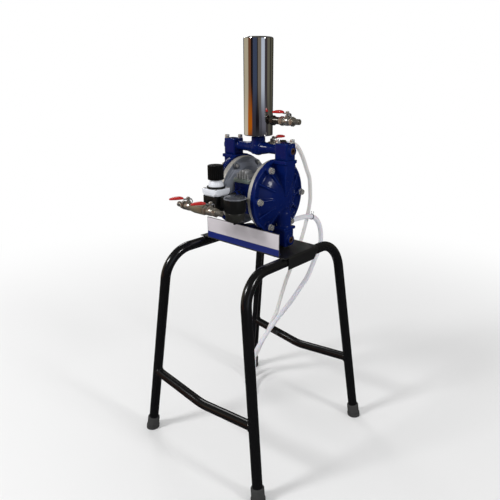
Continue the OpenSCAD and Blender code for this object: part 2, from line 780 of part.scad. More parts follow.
module centre_body() color(grey_cast) at_pump() difference() {
    union() {
        rotate([90, 0, 90]) translate([0, 0, -centre_half]) linear_extrude(2 * centre_half)
            polygon([[-centre_front, -centre_z], [centre_back - centre_bevel, -centre_z],
                [centre_back, centre_bevel - centre_z], [centre_back, centre_z - centre_bevel],
                [centre_back - centre_bevel, centre_z], [-centre_front, centre_z]]);
        translate([exhaust_x, 0, 0]) rod_y(0, centre_back + exhaust_boss_l, exhaust_boss_r);
    }
    rod_x(-centre_half - 1, centre_half + 1, shaft_r + fit);
    translate([exhaust_x, 0, 0])
        rod_y(shaft_r + 8, centre_back + exhaust_boss_l + 1, exhaust_r);
}

// Pump: air valve
module air_valve_body() color(blue_paint) at_pump() difference() {
    union() {
        translate([0, spool_y, 0])
            soft_post(airvalve_w, airvalve_d, -airvalve_drop, airvalve_rise, 4);
        translate([0, 0, inlet_rise])
            rod_y(airvalve_front - inlet_boss_l, spool_y, inlet_boss_r);
    }
    translate([0, spool_y, 0]) {
        rod_z(spool_bore_bottom, airvalve_rise + 1, spool_r + fit);
        for (x = [-1, 1], y = [-1, 1]) translate([x * cap_screw_x, y * cap_screw_y, 0])
            rod_z(airvalve_rise - 10, airvalve_rise + 1, 2 + fit);
    }
    translate([0, 0, inlet_rise])
        rod_y(airvalve_front - inlet_boss_l - 1, spool_y, pipe_r + fit);
}

module air_valve_cap() color([0.72, 0.78, 0.72]) at_pump() translate([0, spool_y, airvalve_rise]) {
    difference() {
        union() {
            translate([0, -(cap_over + seat_gap) / 2, 0]) soft_post(airvalve_w + 2 * cap_over,
                airvalve_d + cap_over - seat_gap, 0, cap_t, 4);
            for (i = [0 : fin_n - 1]) translate([(i - (fin_n - 1) / 2) * fin_gap, 0, 0])
                block(-fin_t / 2, fin_t / 2, -airvalve_d / 2, airvalve_d / 2 - 1, 1,
                    cap_t + fin_h - fin_drop * abs(i - (fin_n - 1) / 2));
        }
        for (x = [-1, 1], y = [-1, 1]) translate([x * cap_screw_x, y * cap_screw_y, 0])
            rod_z(-1, cap_t + 1, 2.2);
    }
}

module air_valve_spool() color(silver) at_pump()
    translate([0, spool_y, spool_bore_bottom + seat_gap]) difference() {
        rod_z(0, spool_l, spool_r);
        for (share = [0.22, 0.5, 0.78]) translate([0, 0, share * spool_l]) difference() {
            rod_z(-spool_l / 12, spool_l / 12, spool_r + 1);
            rod_z(-spool_l / 6, spool_l / 6, spool_r - 3);
        }
    }

// Pump: shaft and diaphragms
module shaft() color(silver) at_pump() {
    rod_x(-shoulder_x, shoulder_x, shaft_r);
    stud_end = clamp_x + outer_disc_t + disc_nut_h - 1;
    rod_x(-stud_end, stud_end, stud_d / 2);
}

module clamp_discs() color(silver) at_pump() both_ends() {
    difference() {
        cone_x(shoulder_x, clamp_x - pocket_t, inner_disc_r - 4, inner_disc_r);
        rod_x(0, 2 * clamp_x, stud_d / 2 + fit);
    }
    difference() {
        cone_x(clamp_x, clamp_x + outer_disc_t, outer_disc_r, outer_disc_r - 5);
        rod_x(0, 2 * clamp_x, stud_d / 2 + fit);
    }
    difference() {
        hex_x(clamp_x + outer_disc_t, clamp_x + outer_disc_t + disc_nut_h, disc_nut_af);
        rod_x(0, 2 * clamp_x, stud_d / 2 + fit);
    }
}

module diaphragm() translate([clamp_x - 0.1, 0, 0]) rotate([0, -90, 0])
    rotate_extrude() difference() {
        union() {
            translate([stud_d / 2 + 0.3, 0])
                square([diaphragm_r - stud_d / 2 - 0.3, diaphragm_t]);
            translate([wave_r, diaphragm_t / 2]) circle(wave_out_r);
        }
        translate([wave_r, diaphragm_t / 2]) circle(wave_out_r - wave_t);
        translate([wave_r - 2 * wave_out_r, diaphragm_t]) square([4 * wave_out_r, wave_out_r]);
        translate([wave_r - wave_out_r + wave_t, diaphragm_t / 2])
            square([2 * (wave_out_r - wave_t), wave_out_r]);
    }

module diaphragm_right() color(black_plastic) at_pump() diaphragm();
module diaphragm_left() color(black_plastic) at_pump() rotate([0, 0, 180]) diaphragm();

// Pump: manifolds
module manifold_block(z0, z1) translate([column_x, 0, 0]) soft_post(block_w, block_d, z0, z1, block_edge_r);

module manifold_bar(z) translate([0, 0, z]) {
    both_ends() {
        rod_x(0, column_x, bar_r);
        cone_x(hub_r - hub_flare / 4, hub_r + hub_flare, bar_r + hub_flare / 4, bar_r);
        rod_x(column_x, block_x1 + plug_boss_l, plug_boss_r);
    }
    sphere(hub_r);
}

module upper_manifold() color(blue_paint) at_pump() difference() {
    union() {
        both_ends() manifold_block(upper_joint, upper_top);
        manifold_bar(upper_axis);
        rod_z(upper_axis - hub_post_drop, hub_post_top, hub_post_r);
        translate([0, 0, upper_axis]) rod_y(0, return_boss_l, return_boss_r);
    }
    translate([0, 0, upper_axis]) {
        rod_x(-2 * column_x, 2 * column_x, passage_r + fit);
        rod_y(0, return_boss_l + 1, pipe_r + fit);
    }
    rod_z(upper_axis, hub_post_top + 1, neck_r + fit);
    both_ends() translate([column_x, 0, 0]) {
        rod_z(upper_joint - 1, upper_joint + ball_room, ball_space_r);
        joint_threads(upper_joint - 1, upper_top + 1, joint_bolt_r + 0.3);
    }
}

module lower_manifold() color(blue_paint) at_pump() difference() {
    union() {
        both_ends() manifold_block(-axis_rise, -lower_joint);
        manifold_bar(lower_axis);
        translate([0, 0, lower_axis]) rod_y(0, suction_boss_l, suction_boss_r);
    }
    translate([0, 0, lower_axis]) {
        rod_x(-2 * column_x, 2 * column_x, passage_r + fit);
        rod_y(0, suction_boss_l + 1, pipe_r + fit);
    }
    both_ends() translate([column_x, 0, 0]) {
        rod_z(-lower_joint - seat_h - seat_gap, 1 - lower_joint, seat_r + fit);
        rod_z(lower_axis, -lower_joint, seat_bore_r);
        rod_z(-axis_rise - 1, mount_bolt_depth - axis_rise, mount_bolt_r + fit);
        joint_threads(-axis_rise - 1, 1 - lower_joint, joint_bolt_r + 0.3);
        joint_threads(-axis_rise - 1, head_well_h - axis_rise, head_well_r);
    }
}

module seat_ring(z) translate([column_x, 0, z]) difference() {
    rod_z(0, seat_h, seat_r);
    rod_z(-1, seat_h + 1, seat_bore_r);
}

module valve_seats() color(silver) at_pump() both_ends() {
    seat_ring(upper_joint - seat_h);
    seat_ring(-lower_joint - seat_h);
}

module check_ball(side, z) color(white_plastic) at_pump()
    translate([side * column_x, 0, z + ball_rest]) sphere(ball_r);

module suction_ball_left() check_ball(-1, -lower_joint);
module suction_ball_right() check_ball(1, -lower_joint);
module discharge_ball_left() check_ball(-1, upper_joint);
module discharge_ball_right() check_ball(1, upper_joint);

module cover_bolts() color(silver) at_pump() both_ends() at_bolts(cover_bolts_n, bolt_circle_r) {
    rod_x(boss_top, boss_top + 1.6, cover_bolt_d);
    hex_x(boss_top + 1.6, boss_top + 7.6, 1.6 * cover_bolt_d);
    rod_x(chamber_flange_x - 9, boss_top + 1, cover_bolt_d / 2);
}

module cover_nuts() color(silver) at_pump() both_ends() at_bolts(cover_bolts_n, bolt_circle_r)
    difference() {
        hex_x(nut_seat_x - 6.5, nut_seat_x, 1.6 * cover_bolt_d);
        rod_x(chamber_flange_x - 8, chamber_flange_x + 1, cover_bolt_d / 2 + fit);
    }

module manifold_bolts() color(silver) at_pump() both_ends() translate([column_x, 0, 0])
    for (s = [-1, 1]) translate([s * joint_bolt_x, s * joint_bolt_y, 0]) {
        rod_z(upper_top, upper_top + 1.2, joint_bolt_d);
        hex_z(upper_top + 1.2, upper_top + 8.5, 10);
        rod_z(upper_joint - joint_thread_l + 1, upper_top + 1, joint_bolt_r);
        difference() {
            rod_z(head_well_h - 6 - axis_rise, head_well_h - axis_rise, head_well_r - 0.3);
            hex_z(head_well_h - 7 - axis_rise, head_well_h - 3 - axis_rise, 5);
        }
        rod_z(head_well_h - 1 - axis_rise, joint_thread_l - 1 - lower_joint, joint_bolt_r);
    }

module port_plugs() color(silver) at_pump() for (z = [upper_axis, lower_axis])
    translate([0, 0, z]) both_ends() difference() {
        rod_x(block_x1 + plug_boss_l - plug_l, block_x1 + plug_boss_l - 0.5, plug_r);
        hex_x(block_x1 + plug_boss_l - 7, block_x1 + plug_boss_l, plug_r);
    }

// Tank
module tank_outline(r, h, edge) {
    translate([0, 0]) square([r - edge, h]);
    translate([0, edge]) square([r, h - 2 * edge]);
    for (z = [edge, h - edge]) translate([r - edge, z]) circle(edge);
}

module tank_shell() color(silver) translate([0, pump_y, tank_z]) difference() {
    union() {
        rotate_extrude() tank_outline(tank_r, tank_h, tank_edge_r);
        translate([0, 0, outlet_rise]) rod_x(tank_r - 4, outlet_boss_x, outlet_boss_r);
    }
    translate([0, 0, tank_wall]) rotate_extrude()
        tank_outline(tank_r - tank_wall, tank_h - 2 * tank_wall, tank_edge_r - tank_wall);
    rod_z(-1, tank_wall + 1, neck_r + fit);
    translate([0, 0, outlet_rise]) rod_x(tank_r - 8, outlet_boss_x + 1, pipe_r + fit);
}

// Pipe fittings
module close_nipple() difference() {
    rod_x(1 - spigot_l, spigot_l - 1, pipe_r);
    rod_x(-spigot_l, spigot_l, pipe_r - 2.5);
}

module barb(y0, y1, r) for (i = [0 : 2]) {
    step = (y1 - y0) / 3;
    translate([0, y0 + i * step, 0]) rotate([-90, 0, 0])
        cylinder(r1 = r, r2 = r - 0.8, h = step);
}

module pipe_nipples() color(silver) {
    translate([0, pump_y, 0]) difference() {
        union() {
            rod_z(hub_top_z - 14, tank_z + 10, neck_r);
            hex_z(hub_top_z + seat_gap, tank_z - seat_gap, neck_hex_af);
        }
        rod_z(hub_top_z - 15, tank_z + 11, neck_r - 3);
    }
    translate([0, pump_y, outlet_z]) difference() {
        union() {
            rod_x(tank_r + 1, outlet_boss_x + 28 + spigot_l - 1, pipe_r);
            hex_x(outlet_boss_x + seat_gap, outlet_boss_x + 11, 20);
            rod_x(outlet_boss_x + 10, outlet_boss_x + 28, 8.5);
        }
        rod_x(tank_r, outlet_boss_x + 28 + spigot_l, pipe_r - 2.5);
    }
    translate([0, 0, pump_z + upper_axis]) difference() {
        union() {
            rod_y(return_port_y - 8, return_valve_y + spigot_l - 1, pipe_r);
            hex_y(return_port_y + seat_gap, return_valve_y, 17);
        }
        rod_y(return_port_y - 9, return_valve_y + spigot_l, pipe_r - 2.5);
    }
    translate([0, 0, pump_z + upper_axis]) difference() {
        union() {
            hex_y(return_barb_y, return_barb_y + 16.3, valve_af);
            barb(return_barb_y + 15, return_barb_y + 16 + barb_l, 3.5);
        }
        rod_y(return_barb_y - 1, return_barb_y + valve_stub_l - 7.7, pipe_r + fit);
        rod_y(return_barb_y, return_barb_y + 17 + barb_l, 1.8);
    }
    translate([0, 0, pump_z + lower_axis]) difference() {
        union() {
            rod_y(suction_port_y - 10, suction_port_y + 2, pipe_r);
            hex_y(suction_port_y + seat_gap, suction_port_y + 10, 22);
            barb(suction_port_y + 9, suction_port_y + 10 + barb_l, 5);
        }
        rod_y(suction_port_y - 11, suction_port_y + 11 + barb_l, 3);
    }
    translate([0, 0, inlet_z]) difference() {
        union() {
            rod_y(ear_back_y - 8, inlet_face_y + 8, pipe_r);
            hex_y(ear_back_y + seat_gap, inlet_face_y - seat_gap, 17);
        }
        rod_y(ear_back_y - 9, inlet_face_y + 9, pipe_r - 2.5);
    }
    translate([-reg_x, 0, reg_line_z]) difference() {
        union() {
            rod_y(reg_front_y - tee_nipple_l - 7, reg_front_y + 8, pipe_r);
            hex_y(reg_front_y - tee_nipple_l + 4, reg_front_y - 5, 15);
        }
        rod_y(reg_front_y - tee_nipple_l - 8, reg_front_y + 9, pipe_r - 2.5);
    }
    at_tee_left() close_nipple();
    at_tee_right() close_nipple();
}

module air_tee() color(silver) translate([-reg_x, tee_y, reg_line_z]) difference() {
    union() {
        hex_x(-tee_l / 2, tee_l / 2, tee_af);
        rod_y(0, tee_branch, tee_af / 2);
    }
    rod_x(-tee_l, tee_l, pipe_r + fit);
    rod_y(0, tee_branch + 1, pipe_r + fit);
}

// Ball valves
module valve_body() difference() {
    union() {
        hex_x(0, valve_hex_l, valve_af);
        hex_x(valve_l - valve_hex_l, valve_l, valve_af);
        rod_x(valve_hex_l - 1, valve_l - valve_hex_l + 1, valve_barrel_r);
        rod_x(valve_l - 1, valve_l + valve_stub_l, pipe_r);
        translate([valve_stem_u, 0, 0]) rod_z(0, valve_boss_h, valve_boss_r);
    }
    rod_x(-1, spigot_l, pipe_r + fit);
    rod_x(0, valve_l + valve_stub_l + 1, valve_bore_r);
    translate([valve_stem_u, 0, 0]) {
        sphere(valve_ball_r + 0.1);
        rod_z(0, valve_boss_h + 1, stem_r + fit);
    }
}

module valve_bodies() color(silver) {
    at_tee_left() valve_body();
    at_tee_right() valve_body();
    at_outlet() valve_body();
    at_return() valve_body();
}

module at_stem(angle) translate([valve_stem_u, 0, 0]) rotate([0, 0, angle]) children();

module stem() color(silver) {
    difference() {
        union() {
            sphere(valve_ball_r);
            rod_z(0, stem_top, stem_r);
        }
        rod_x(-2 * valve_ball_r, 2 * valve_ball_r, valve_bore_r);
    }
    difference() {
        hex_z(lever_z + lever_t, stem_top - 1, stem_nut_af);
        rod_z(lever_z, stem_top, stem_r + fit);
    }
}

module lever() color(silver) difference() {
    rotate([90, 0, 0]) translate([0, 0, -lever_w / 2]) linear_extrude(lever_w)
        polygon([[-6, lever_z], [lever_bend_u, lever_z], [lever_bend_u + 5, lever_z + lever_rise],
            [lever_l, lever_z + lever_rise], [lever_l, lever_z + lever_rise + lever_t],
            [lever_bend_u + 4, lever_z + lever_rise + lever_t],
            [lever_bend_u - 1, lever_z + lever_t], [-6, lever_z + lever_t]]);
    rod_z(lever_z - 1, lever_z + lever_t + 1, stem_r + fit);
}

module sleeve() color(red_plastic) difference() {
    translate([(sleeve_u + sleeve_end) / 2, 0, 0])
        soft_post(sleeve_end - sleeve_u, sleeve_w, lever_z + lever_rise + (lever_t - sleeve_t) / 2,
            lever_z + lever_rise + (lever_t + sleeve_t) / 2, 3);
    block(sleeve_u - 1, lever_l + seat_gap, -lever_w / 2 - fit, lever_w / 2 + fit,
        lever_z + lever_rise - fit, lever_z + lever_rise + lever_t + fit);
}

module stem_tee_left() at_tee_left() at_stem(tee_lever_angle) stem();
module stem_tee_right() at_tee_right() at_stem(180 + tee_lever_angle) stem();
module stem_outlet() at_outlet() at_stem(180) stem();
module stem_return() at_return() at_stem(0) stem();
module lever_tee_left() at_tee_left() at_stem(tee_lever_angle) lever();
module lever_tee_right() at_tee_right() at_stem(180 + tee_lever_angle) lever();
module lever_outlet() at_outlet() at_stem(180) lever();
module lever_return() at_return() at_stem(0) lever();
module sleeve_tee_left() at_tee_left() at_stem(tee_lever_angle) sleeve();
module sleeve_tee_right() at_tee_right() at_stem(180 + tee_lever_angle) sleeve();
module sleeve_outlet() at_outlet() at_stem(180) sleeve();
module sleeve_return() at_return() at_stem(0) sleeve();

// Air filter and regulator
module regulator_body() color(black_plastic) translate([-reg_x, reg_y, 0]) difference() {
    union() {
        soft_post(reg_w, reg_w, reg_bottom, reg_top, 4);
        rod_z(reg_bottom - 6, reg_bottom + 1, 11);
    }
    translate([0, 0, reg_line_z]) {
        rod_y(-reg_w / 2 - 1, 0, pipe_r + fit);
        rod_x(0, reg_w / 2 + 1, 5);
    }
    rod_z(reg_line_z, reg_top + 1, 14);
    for (x = [-1, 1], y = [-1, 1]) translate([x * bonnet_screw_o, y * bonnet_screw_o, 0]) {
        rod_z(reg_top - 8, reg_top + 1, 1.8 + fit);
    }
}

module bonnet_outline() intersection() {
    soft_square(bonnet_w, bonnet_w, 3);
    rotate(45) square(1.27 * bonnet_w, center = true);
}

module regulator_bonnet() color(white_plastic) translate([-reg_x, reg_y, 0]) difference() {
    union() {
        translate([0, 0, reg_top]) linear_extrude(bonnet_h) bonnet_outline();
        rod_z(bonnet_top - 1, dome_base_z, neck_round_r);
        intersection() {
            translate([0, 0, dome_base_z])
                cylinder(r1 = neck_round_r, r2 = dome_top_r, h = dome_top_z - dome_base_z);
            translate([0, 0, dome_top_z - neck_round_r]) sphere(1.18 * neck_round_r);
        }
    }
    rod_z(reg_top - 1, dome_top_z - 8, 13);
    rod_z(reg_top, dome_top_z + 1, screw_r + fit);
    for (x = [-1, 1], y = [-1, 1]) translate([x * bonnet_screw_o, y * bonnet_screw_o, 0])
        rod_z(reg_top - 1, bonnet_top + 1, 2);
}

module panel_nut() color(black_plastic) translate([-reg_x, reg_y, bonnet_top]) difference() {
    linear_extrude(panel_nut_h - seat_gap) difference() {
        circle(panel_nut_r);
        for (i = [0 : 7]) rotate(i * 45 + 22.5) translate([panel_nut_r + 1, 0]) circle(2.2);
    }
    rod_z(-1, panel_nut_h + 1, neck_round_r + fit);
}

module adjusting_screw() color(silver) translate([-reg_x, reg_y, 0]) {
    rod_z(dome_top_z - 20, screw_head_z + 1, screw_r);
    hex_z(screw_head_z, screw_head_z + screw_head_h, screw_head_af);
}

module regulator_knob() color(black_plastic) translate([-reg_x, reg_y, knob_z]) difference() {
    rotate_extrude() {
        square([knob_r - 2.5, knob_h]);
        square([knob_r, knob_h - 2.5]);
        translate([knob_r - 2.5, knob_h - 2.5]) circle(2.5);
    }
    for (i = [0 : knob_grooves - 1]) rotate([0, 0, i * 360 / knob_grooves])
        translate([knob_r + 0.6, 0, 4]) cylinder(r = 1.5, h = knob_h);
    rod_z(-1, 4, 10);
    hex_z(-1, knob_socket_h, screw_head_af + 0.2);
}

module filter_lid() color(grey_cast) translate([filter_x, reg_y, reg_top]) difference() {
    rotate([0, 0, 22.5]) cylinder(r = filter_r - 1, h = lid_h, $fn = 8);
    for (i = [0 : 3]) rotate([0, 0, 45 + i * 90]) translate([filter_r - 8, 0, 0])
        rod_z(lid_h - 2, lid_h + 1, 2.5);
}

module filter_body() color(black_plastic) difference() {
    union() {
        translate([filter_x, reg_y, 0]) rod_z(filter_bottom, reg_top, filter_r);
        block(arm_x0, filter_x - filter_r / 2, reg_y - 12, ear_front_y, filter_bottom + 3,
            reg_top - 0.5);
        block(ear_x0, ear_x1, ear_front_y, ear_back_y, filter_bottom + 3, inlet_z + 10);
    }
    translate([filter_x, reg_y, 0])
        rod_z(filter_bottom - 1, filter_bottom + bowl_neck_h + 1, bowl_neck_r + fit);
    translate([0, 0, inlet_z]) rod_y(ear_back_y - 10, ear_back_y + 1, pipe_r + fit);
    translate([0, reg_y, reg_line_z]) rod_x(arm_x0 - 1, filter_x - filter_r, 5);
}

module filter_bowl() color([0.20, 0.21, 0.22]) translate([filter_x, reg_y, 0]) difference() {
    union() {
        translate([0, 0, bowl_bottom]) cylinder(r1 = bowl_low_r, r2 = bowl_top_r,
            h = bowl_h - seat_gap);
        rod_z(filter_bottom - 1, filter_bottom + bowl_neck_h, bowl_neck_r);
    }
    translate([0, 0, bowl_bottom + bowl_wall]) cylinder(r1 = bowl_low_r - bowl_wall,
        r2 = bowl_neck_r - bowl_wall, h = bowl_h + bowl_neck_h);
    rod_z(bowl_bottom - 1, bowl_bottom + bowl_wall + 1, drain_r + fit);
}

module drain_cock() color(black_plastic) translate([filter_x, reg_y, bowl_bottom]) {
    rod_z(-1 - seat_gap, bowl_wall + 3, drain_r);
    rod_z(-6, -seat_gap, drain_cap_r);
    block(-2, 2, -drain_cap_r, drain_cap_r, -drain_h, -5);
}

// Hoses
function curve_point(p, t) = let (
    last = len(p) - 1,
    i = min(floor(t * last), last - 1),
    u = t * last - i,
    a = p[max(i - 1, 0)],
    b = p[i],
    c = p[i + 1],
    d = p[min(i + 2, last)]
) 0.5 * (2 * b + (c - a) * u + (2 * a - 5 * b + 4 * c - d) * u * u
    + (3 * b - a - 3 * c + d) * u * u * u);

function hose_ring(centre, ahead, r) = let (
    along = ahead / norm(ahead),
    side_raw = cross(along, [1, 0, 0]),
    side = side_raw / norm(side_raw),
    up = cross(side, along)
) [for (i = [0 : hose_sides - 1]) let (a = i * 360 / hose_sides)
    centre + r * (cos(a) * side + sin(a) * up)];

module hose(route, r) {
    n = hose_rings;
    middle = [for (i = [0 : n - 1]) curve_point(route, i / (n - 1))];
    rings = [for (i = [0 : n - 1])
        each hose_ring(middle[i], middle[min(i + 1, n - 1)] - middle[max(i - 1, 0)], r)];
    sides = [for (i = [0 : n - 2], j = [0 : hose_sides - 1]) let (
        k = (j + 1) % hose_sides,
        base = i * hose_sides,
        next = base + hose_sides
    ) each [[base + j, next + j, base + k], [base + k, next + j, next + k]]];
    first_cap = [for (j = [0 : hose_sides - 1]) j];
    last_cap = [for (j = [hose_sides - 1 : -1 : 0]) (n - 1) * hose_sides + j];
    polyhedron(rings, concat(sides, [first_cap, last_cap]));
}

module suction_hose() color(milk_hose) hose(suction_route, suction_hose_r);
module return_hose() color(milk_hose) hose(return_route, return_hose_d / 2);

module hose_clip() color(silver) translate([0, clip_y, clip_z]) rotate([90 - clip_tilt, 0, 0]) {
    rotate_extrude() translate([clip_r, 0]) circle(clip_wire_r);
    for (side = [-1, 1]) translate([side * 3, clip_r - 0.3, 0]) rotate([-90, 0, side * 20])
        cylinder(r = clip_wire_r, h = 8);
}

hoop_left();
hoop_right();
stretchers();
rubber_feet();
platform();
sign_plate();
pump_mounts();
machine_screws();
fluid_cover_left();
fluid_cover_right();
air_chamber_left();
air_chamber_right();
centre_body();
air_valve_body();
air_valve_cap();
air_valve_spool();
shaft();
diaphragm_left();
diaphragm_right();
clamp_discs();
upper_manifold();
lower_manifold();
suction_ball_left();
suction_ball_right();
discharge_ball_left();
discharge_ball_right();
valve_seats();
cover_bolts();
cover_nuts();
manifold_bolts();
port_plugs();
tank_shell();
pipe_nipples();
regulator_body();
regulator_bonnet();
panel_nut();
adjusting_screw();
regulator_knob();
filter_lid();
filter_body();
filter_bowl();
drain_cock();
air_tee();
valve_bodies();
stem_tee_left();
stem_tee_right();
stem_outlet();
stem_return();
lever_tee_left();
lever_tee_right();
lever_outlet();
lever_return();
sleeve_tee_left();
sleeve_tee_right();
sleeve_outlet();
sleeve_return();
suction_hose();
return_hose();
hose_clip();
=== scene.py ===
import json
import math
from collections import namedtuple

import bmesh
import bpy
from bpy.props import FloatProperty, FloatVectorProperty, IntProperty, PointerProperty
from mathutils import Matrix, Vector


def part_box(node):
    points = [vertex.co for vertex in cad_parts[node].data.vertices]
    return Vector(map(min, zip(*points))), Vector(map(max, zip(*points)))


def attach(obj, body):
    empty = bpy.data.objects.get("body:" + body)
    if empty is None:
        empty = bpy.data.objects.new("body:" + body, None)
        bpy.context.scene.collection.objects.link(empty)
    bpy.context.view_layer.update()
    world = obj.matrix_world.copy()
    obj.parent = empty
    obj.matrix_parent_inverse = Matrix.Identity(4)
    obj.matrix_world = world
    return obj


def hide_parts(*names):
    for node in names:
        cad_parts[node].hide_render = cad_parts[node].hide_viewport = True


bl_info = {
    "name": "Diaphragm pump set",
    "version": (1, 0, 0),
    "blender": (4, 5, 0),
    "location": "View3D > Sidebar > Pump set",
    "description": "Finishes of an air-operated diaphragm pump on its tubular stand",
    "category": "Object",
}

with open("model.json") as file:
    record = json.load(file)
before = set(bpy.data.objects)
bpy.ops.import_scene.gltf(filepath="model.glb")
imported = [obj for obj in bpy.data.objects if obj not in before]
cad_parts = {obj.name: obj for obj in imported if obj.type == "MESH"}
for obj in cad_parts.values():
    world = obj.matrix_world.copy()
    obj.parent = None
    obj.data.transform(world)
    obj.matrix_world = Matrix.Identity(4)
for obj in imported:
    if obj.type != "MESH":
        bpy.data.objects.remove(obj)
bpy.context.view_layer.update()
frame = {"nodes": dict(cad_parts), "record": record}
NODES = frame["nodes"]
BODY_OF = {n: b for b, ns in frame["record"]["behaviour"]["bodies"].items() for n in ns}
MM = 0.001

# Camera that matches the photograph
CAMERA_AT = (0.818, -0.909, 0.9584)
CAMERA_AZIMUTH = 41.24
CAMERA_PITCH = 19.3
CAMERA_ROLL = 0.12
CAMERA_LENS = 35.61
CAMERA_SHIFT = (-0.0217, 0.003)
LAMPS_AIM_AT = Vector((0, 0, 0.55))

# What reflections see round the part, above and below eye level: from and to, in degrees
# from the photograph's standpoint and positive to its right, and the colour
WALLS_ABOVE = [
    (-180, -142, (0.012, 0.010, 0.010)), (-142, -84, (0.46, 0.41, 0.30)),
    (-84, -60, (0.16, 0.065, 0.033)), (-60, -43, (0.010, 0.006, 0.006)),
    (-43, -10, (0.046, 0.062, 0.112)), (-10, -4, (0.010, 0.010, 0.014)),
    (-4, 22, (0.18, 0.155, 0.125)), (22, 50, (0.50, 0.56, 0.66)),
    (50, 72, (0.045, 0.036, 0.042)), (72, 98, (0.135, 0.128, 0.095)),
    (98, 112, (0.035, 0.032, 0.028)), (112, 138, (0.095, 0.090, 0.065)),
    (138, 180, (0.010, 0.009, 0.009))]
WALLS_BELOW = [
    (-180, -152, (0.05, 0.04, 0.03)), (-152, -91, (0.56, 0.51, 0.40)),
    (-91, -50, (0.44, 0.108, 0.004)), (-50, -20, (0.042, 0.038, 0.052)),
    (-20, 6, (0.010, 0.008, 0.010)), (6, 30, (0.080, 0.080, 0.098)),
    (30, 62, (0.13, 0.13, 0.16)), (62, 84, (0.042, 0.038, 0.040)),
    (84, 110, (0.082, 0.078, 0.064)), (110, 138, (0.045, 0.043, 0.037)),
    (138, 180, (0.008, 0.008, 0.008))]
CEILING = (0.075, 0.072, 0.066)
GROUND = (0.034, 0.033, 0.036)

# In metres: the pump's axis, the middle line of a splayed leg, and the stretchers' ends
PUMP_Y, PUMP_Z = 0.014, 0.685
LEG_FOOT = Vector((0.205, 0.2174, 0))
LEG_TOP = Vector((0.132, 0.181, 0.5446))
RAIL_END_Z = 0.192
RAIL_SLOPE = 0.122
LEG_R, RAIL_R = 12.7 * MM, 12 * MM

# Ball valves: the direction of the body and of the lever, in degrees from +X; sizes in mm
VALVES = {"tee_left": (180, 235), "tee_right": (0, 235), "outlet": (0, 180), "return": (90, 90)}
BALL_AT = 20
BALL_UP = 7.5
VALVE_L = 40
STUB_L = 16
STUB_R = 6.5

# Routes of the hoses, in millimetres, as the part's own source has them
RETURN_ROUTE = [
    (0, 116.3, 798), (0, 150, 795), (0, 173, 784), (-1, 192, 764), (-2, 208, 741),
    (-4, 224, 716), (-6, 241, 689), (-9, 251, 656), (-12, 257, 621), (-15, 255, 590),
    (-17, 249, 560), (-19, 241, 532), (-20, 231, 506), (-22, 217, 474), (-25, 203, 444),
    (-30, 191, 413), (-38, 184, 382), (-47, 180, 345), (-58, 178, 305), (-69, 178, 267),
    (-91, 178, 218), (-114, 178, 169), (-133, 178, 128), (-150, 178, 90), (-161, 178, 70),
    (-166, 177, 50), (-164, 171, 30), (-157, 155, 12), (-149, 132, 5), (-143, 115, 5)]
SUCTION_ROUTE = [
    (0, 52.3, 582), (0, 80, 582), (0, 115, 583), (0, 150, 583), (0, 185, 582), (0, 220, 580),
    (0, 250, 574), (0, 276, 560), (0, 294, 536), (0, 303, 508), (0, 303, 482), (0, 292, 455),
    (0, 272, 428), (-1, 243, 386), (-12, 226, 355), (-28, 206, 315), (-46, 190, 279),
    (-66, 175, 243), (-87, 166, 205), (-107, 162, 168), (-125, 161, 136), (-139, 160, 107),
    (-148, 160, 80), (-147, 158, 59), (-143, 153, 42), (-136, 145, 27), (-126, 134, 16),
    (-115, 121, 9.5), (-103, 107, 7), (-86, 89, 7)]
FLOOR_GAP = 0.2 * MM
HOSE_WALL = 0.16  # of the hose's diameter
CLIP_AT = Vector((0, 250, 574)) * MM
CLIP_TILT = 19.6


# Settings that a user would change
def colour_setting(name, description, default):
    return FloatVectorProperty(name=name, description=description, subtype="COLOR", size=3,
                               default=default, min=0, max=1)


def length_setting(name, description, default, low, high):
    return FloatProperty(name=name, description=description, unit="LENGTH", default=default,
                         min=low, max=high)


def power_setting(name, description, default):
    return FloatProperty(name=name, description=description, subtype="POWER",
                         default=default, min=0, max=500)


class StandLooks(bpy.types.PropertyGroup):
    """Finish of the stand and the platform."""
    tube_colour: colour_setting("Tube colour", "Powder coat of the stand",
                                (0.0045, 0.0045, 0.005))
    rubber_colour: colour_setting("Foot colour", "Rubber of the feet", (0.003, 0.003, 0.003))
    weld_radius: length_setting("Weld bead", "Radius of the weld beads", 0.0024, 0.001, 0.005)


class PumpLooks(bpy.types.PropertyGroup):
    """Finish of the pump's castings."""
    paint_colour: colour_setting("Paint", "Blue paint of the wetted castings",
                                 (0.0014, 0.0082, 0.080))
    cast_colour: colour_setting("Casting", "Bare casting of the air side",
                                (0.225, 0.24, 0.285))
    grain: length_setting("Casting mesh", "Size of the casting's mesh cells",
                          0.0016, 0.0012, 0.003)
    cover_bolts: IntProperty(
        name="Cover bolts", description="Bolts round each cover", default=6, min=3, max=16)
    bolt_circle: length_setting("Bolt circle", "Radius of the cover bolts' circle",
                                0.0795, 0.05, 0.12)


class FittingLooks(bpy.types.PropertyGroup):
    """Finish of the valves, levers and nipples."""
    sleeve_colour: colour_setting("Sleeve", "Vinyl sleeves of the levers",
                                  (0.46, 0.012, 0.010))
    thread_pitch: length_setting("Thread pitch", "Pitch of the pipe threads",
                                 0.0013, 0.0008, 0.002)
    edge: length_setting("Edge", "Rounding of the machined edges", 0.0004, 0.0001, 0.001)


class HoseLooks(bpy.types.PropertyGroup):
    """Sizes and finish of the hoses."""
    suction_d: length_setting("Suction hose", "Outside diameter", 0.014, 0.010, 0.016)
    return_d: length_setting("Return hose", "Outside diameter", 0.0112, 0.008, 0.012)
    colour: colour_setting("Colour", "Milky plastic of the hoses", (0.78, 0.775, 0.83))


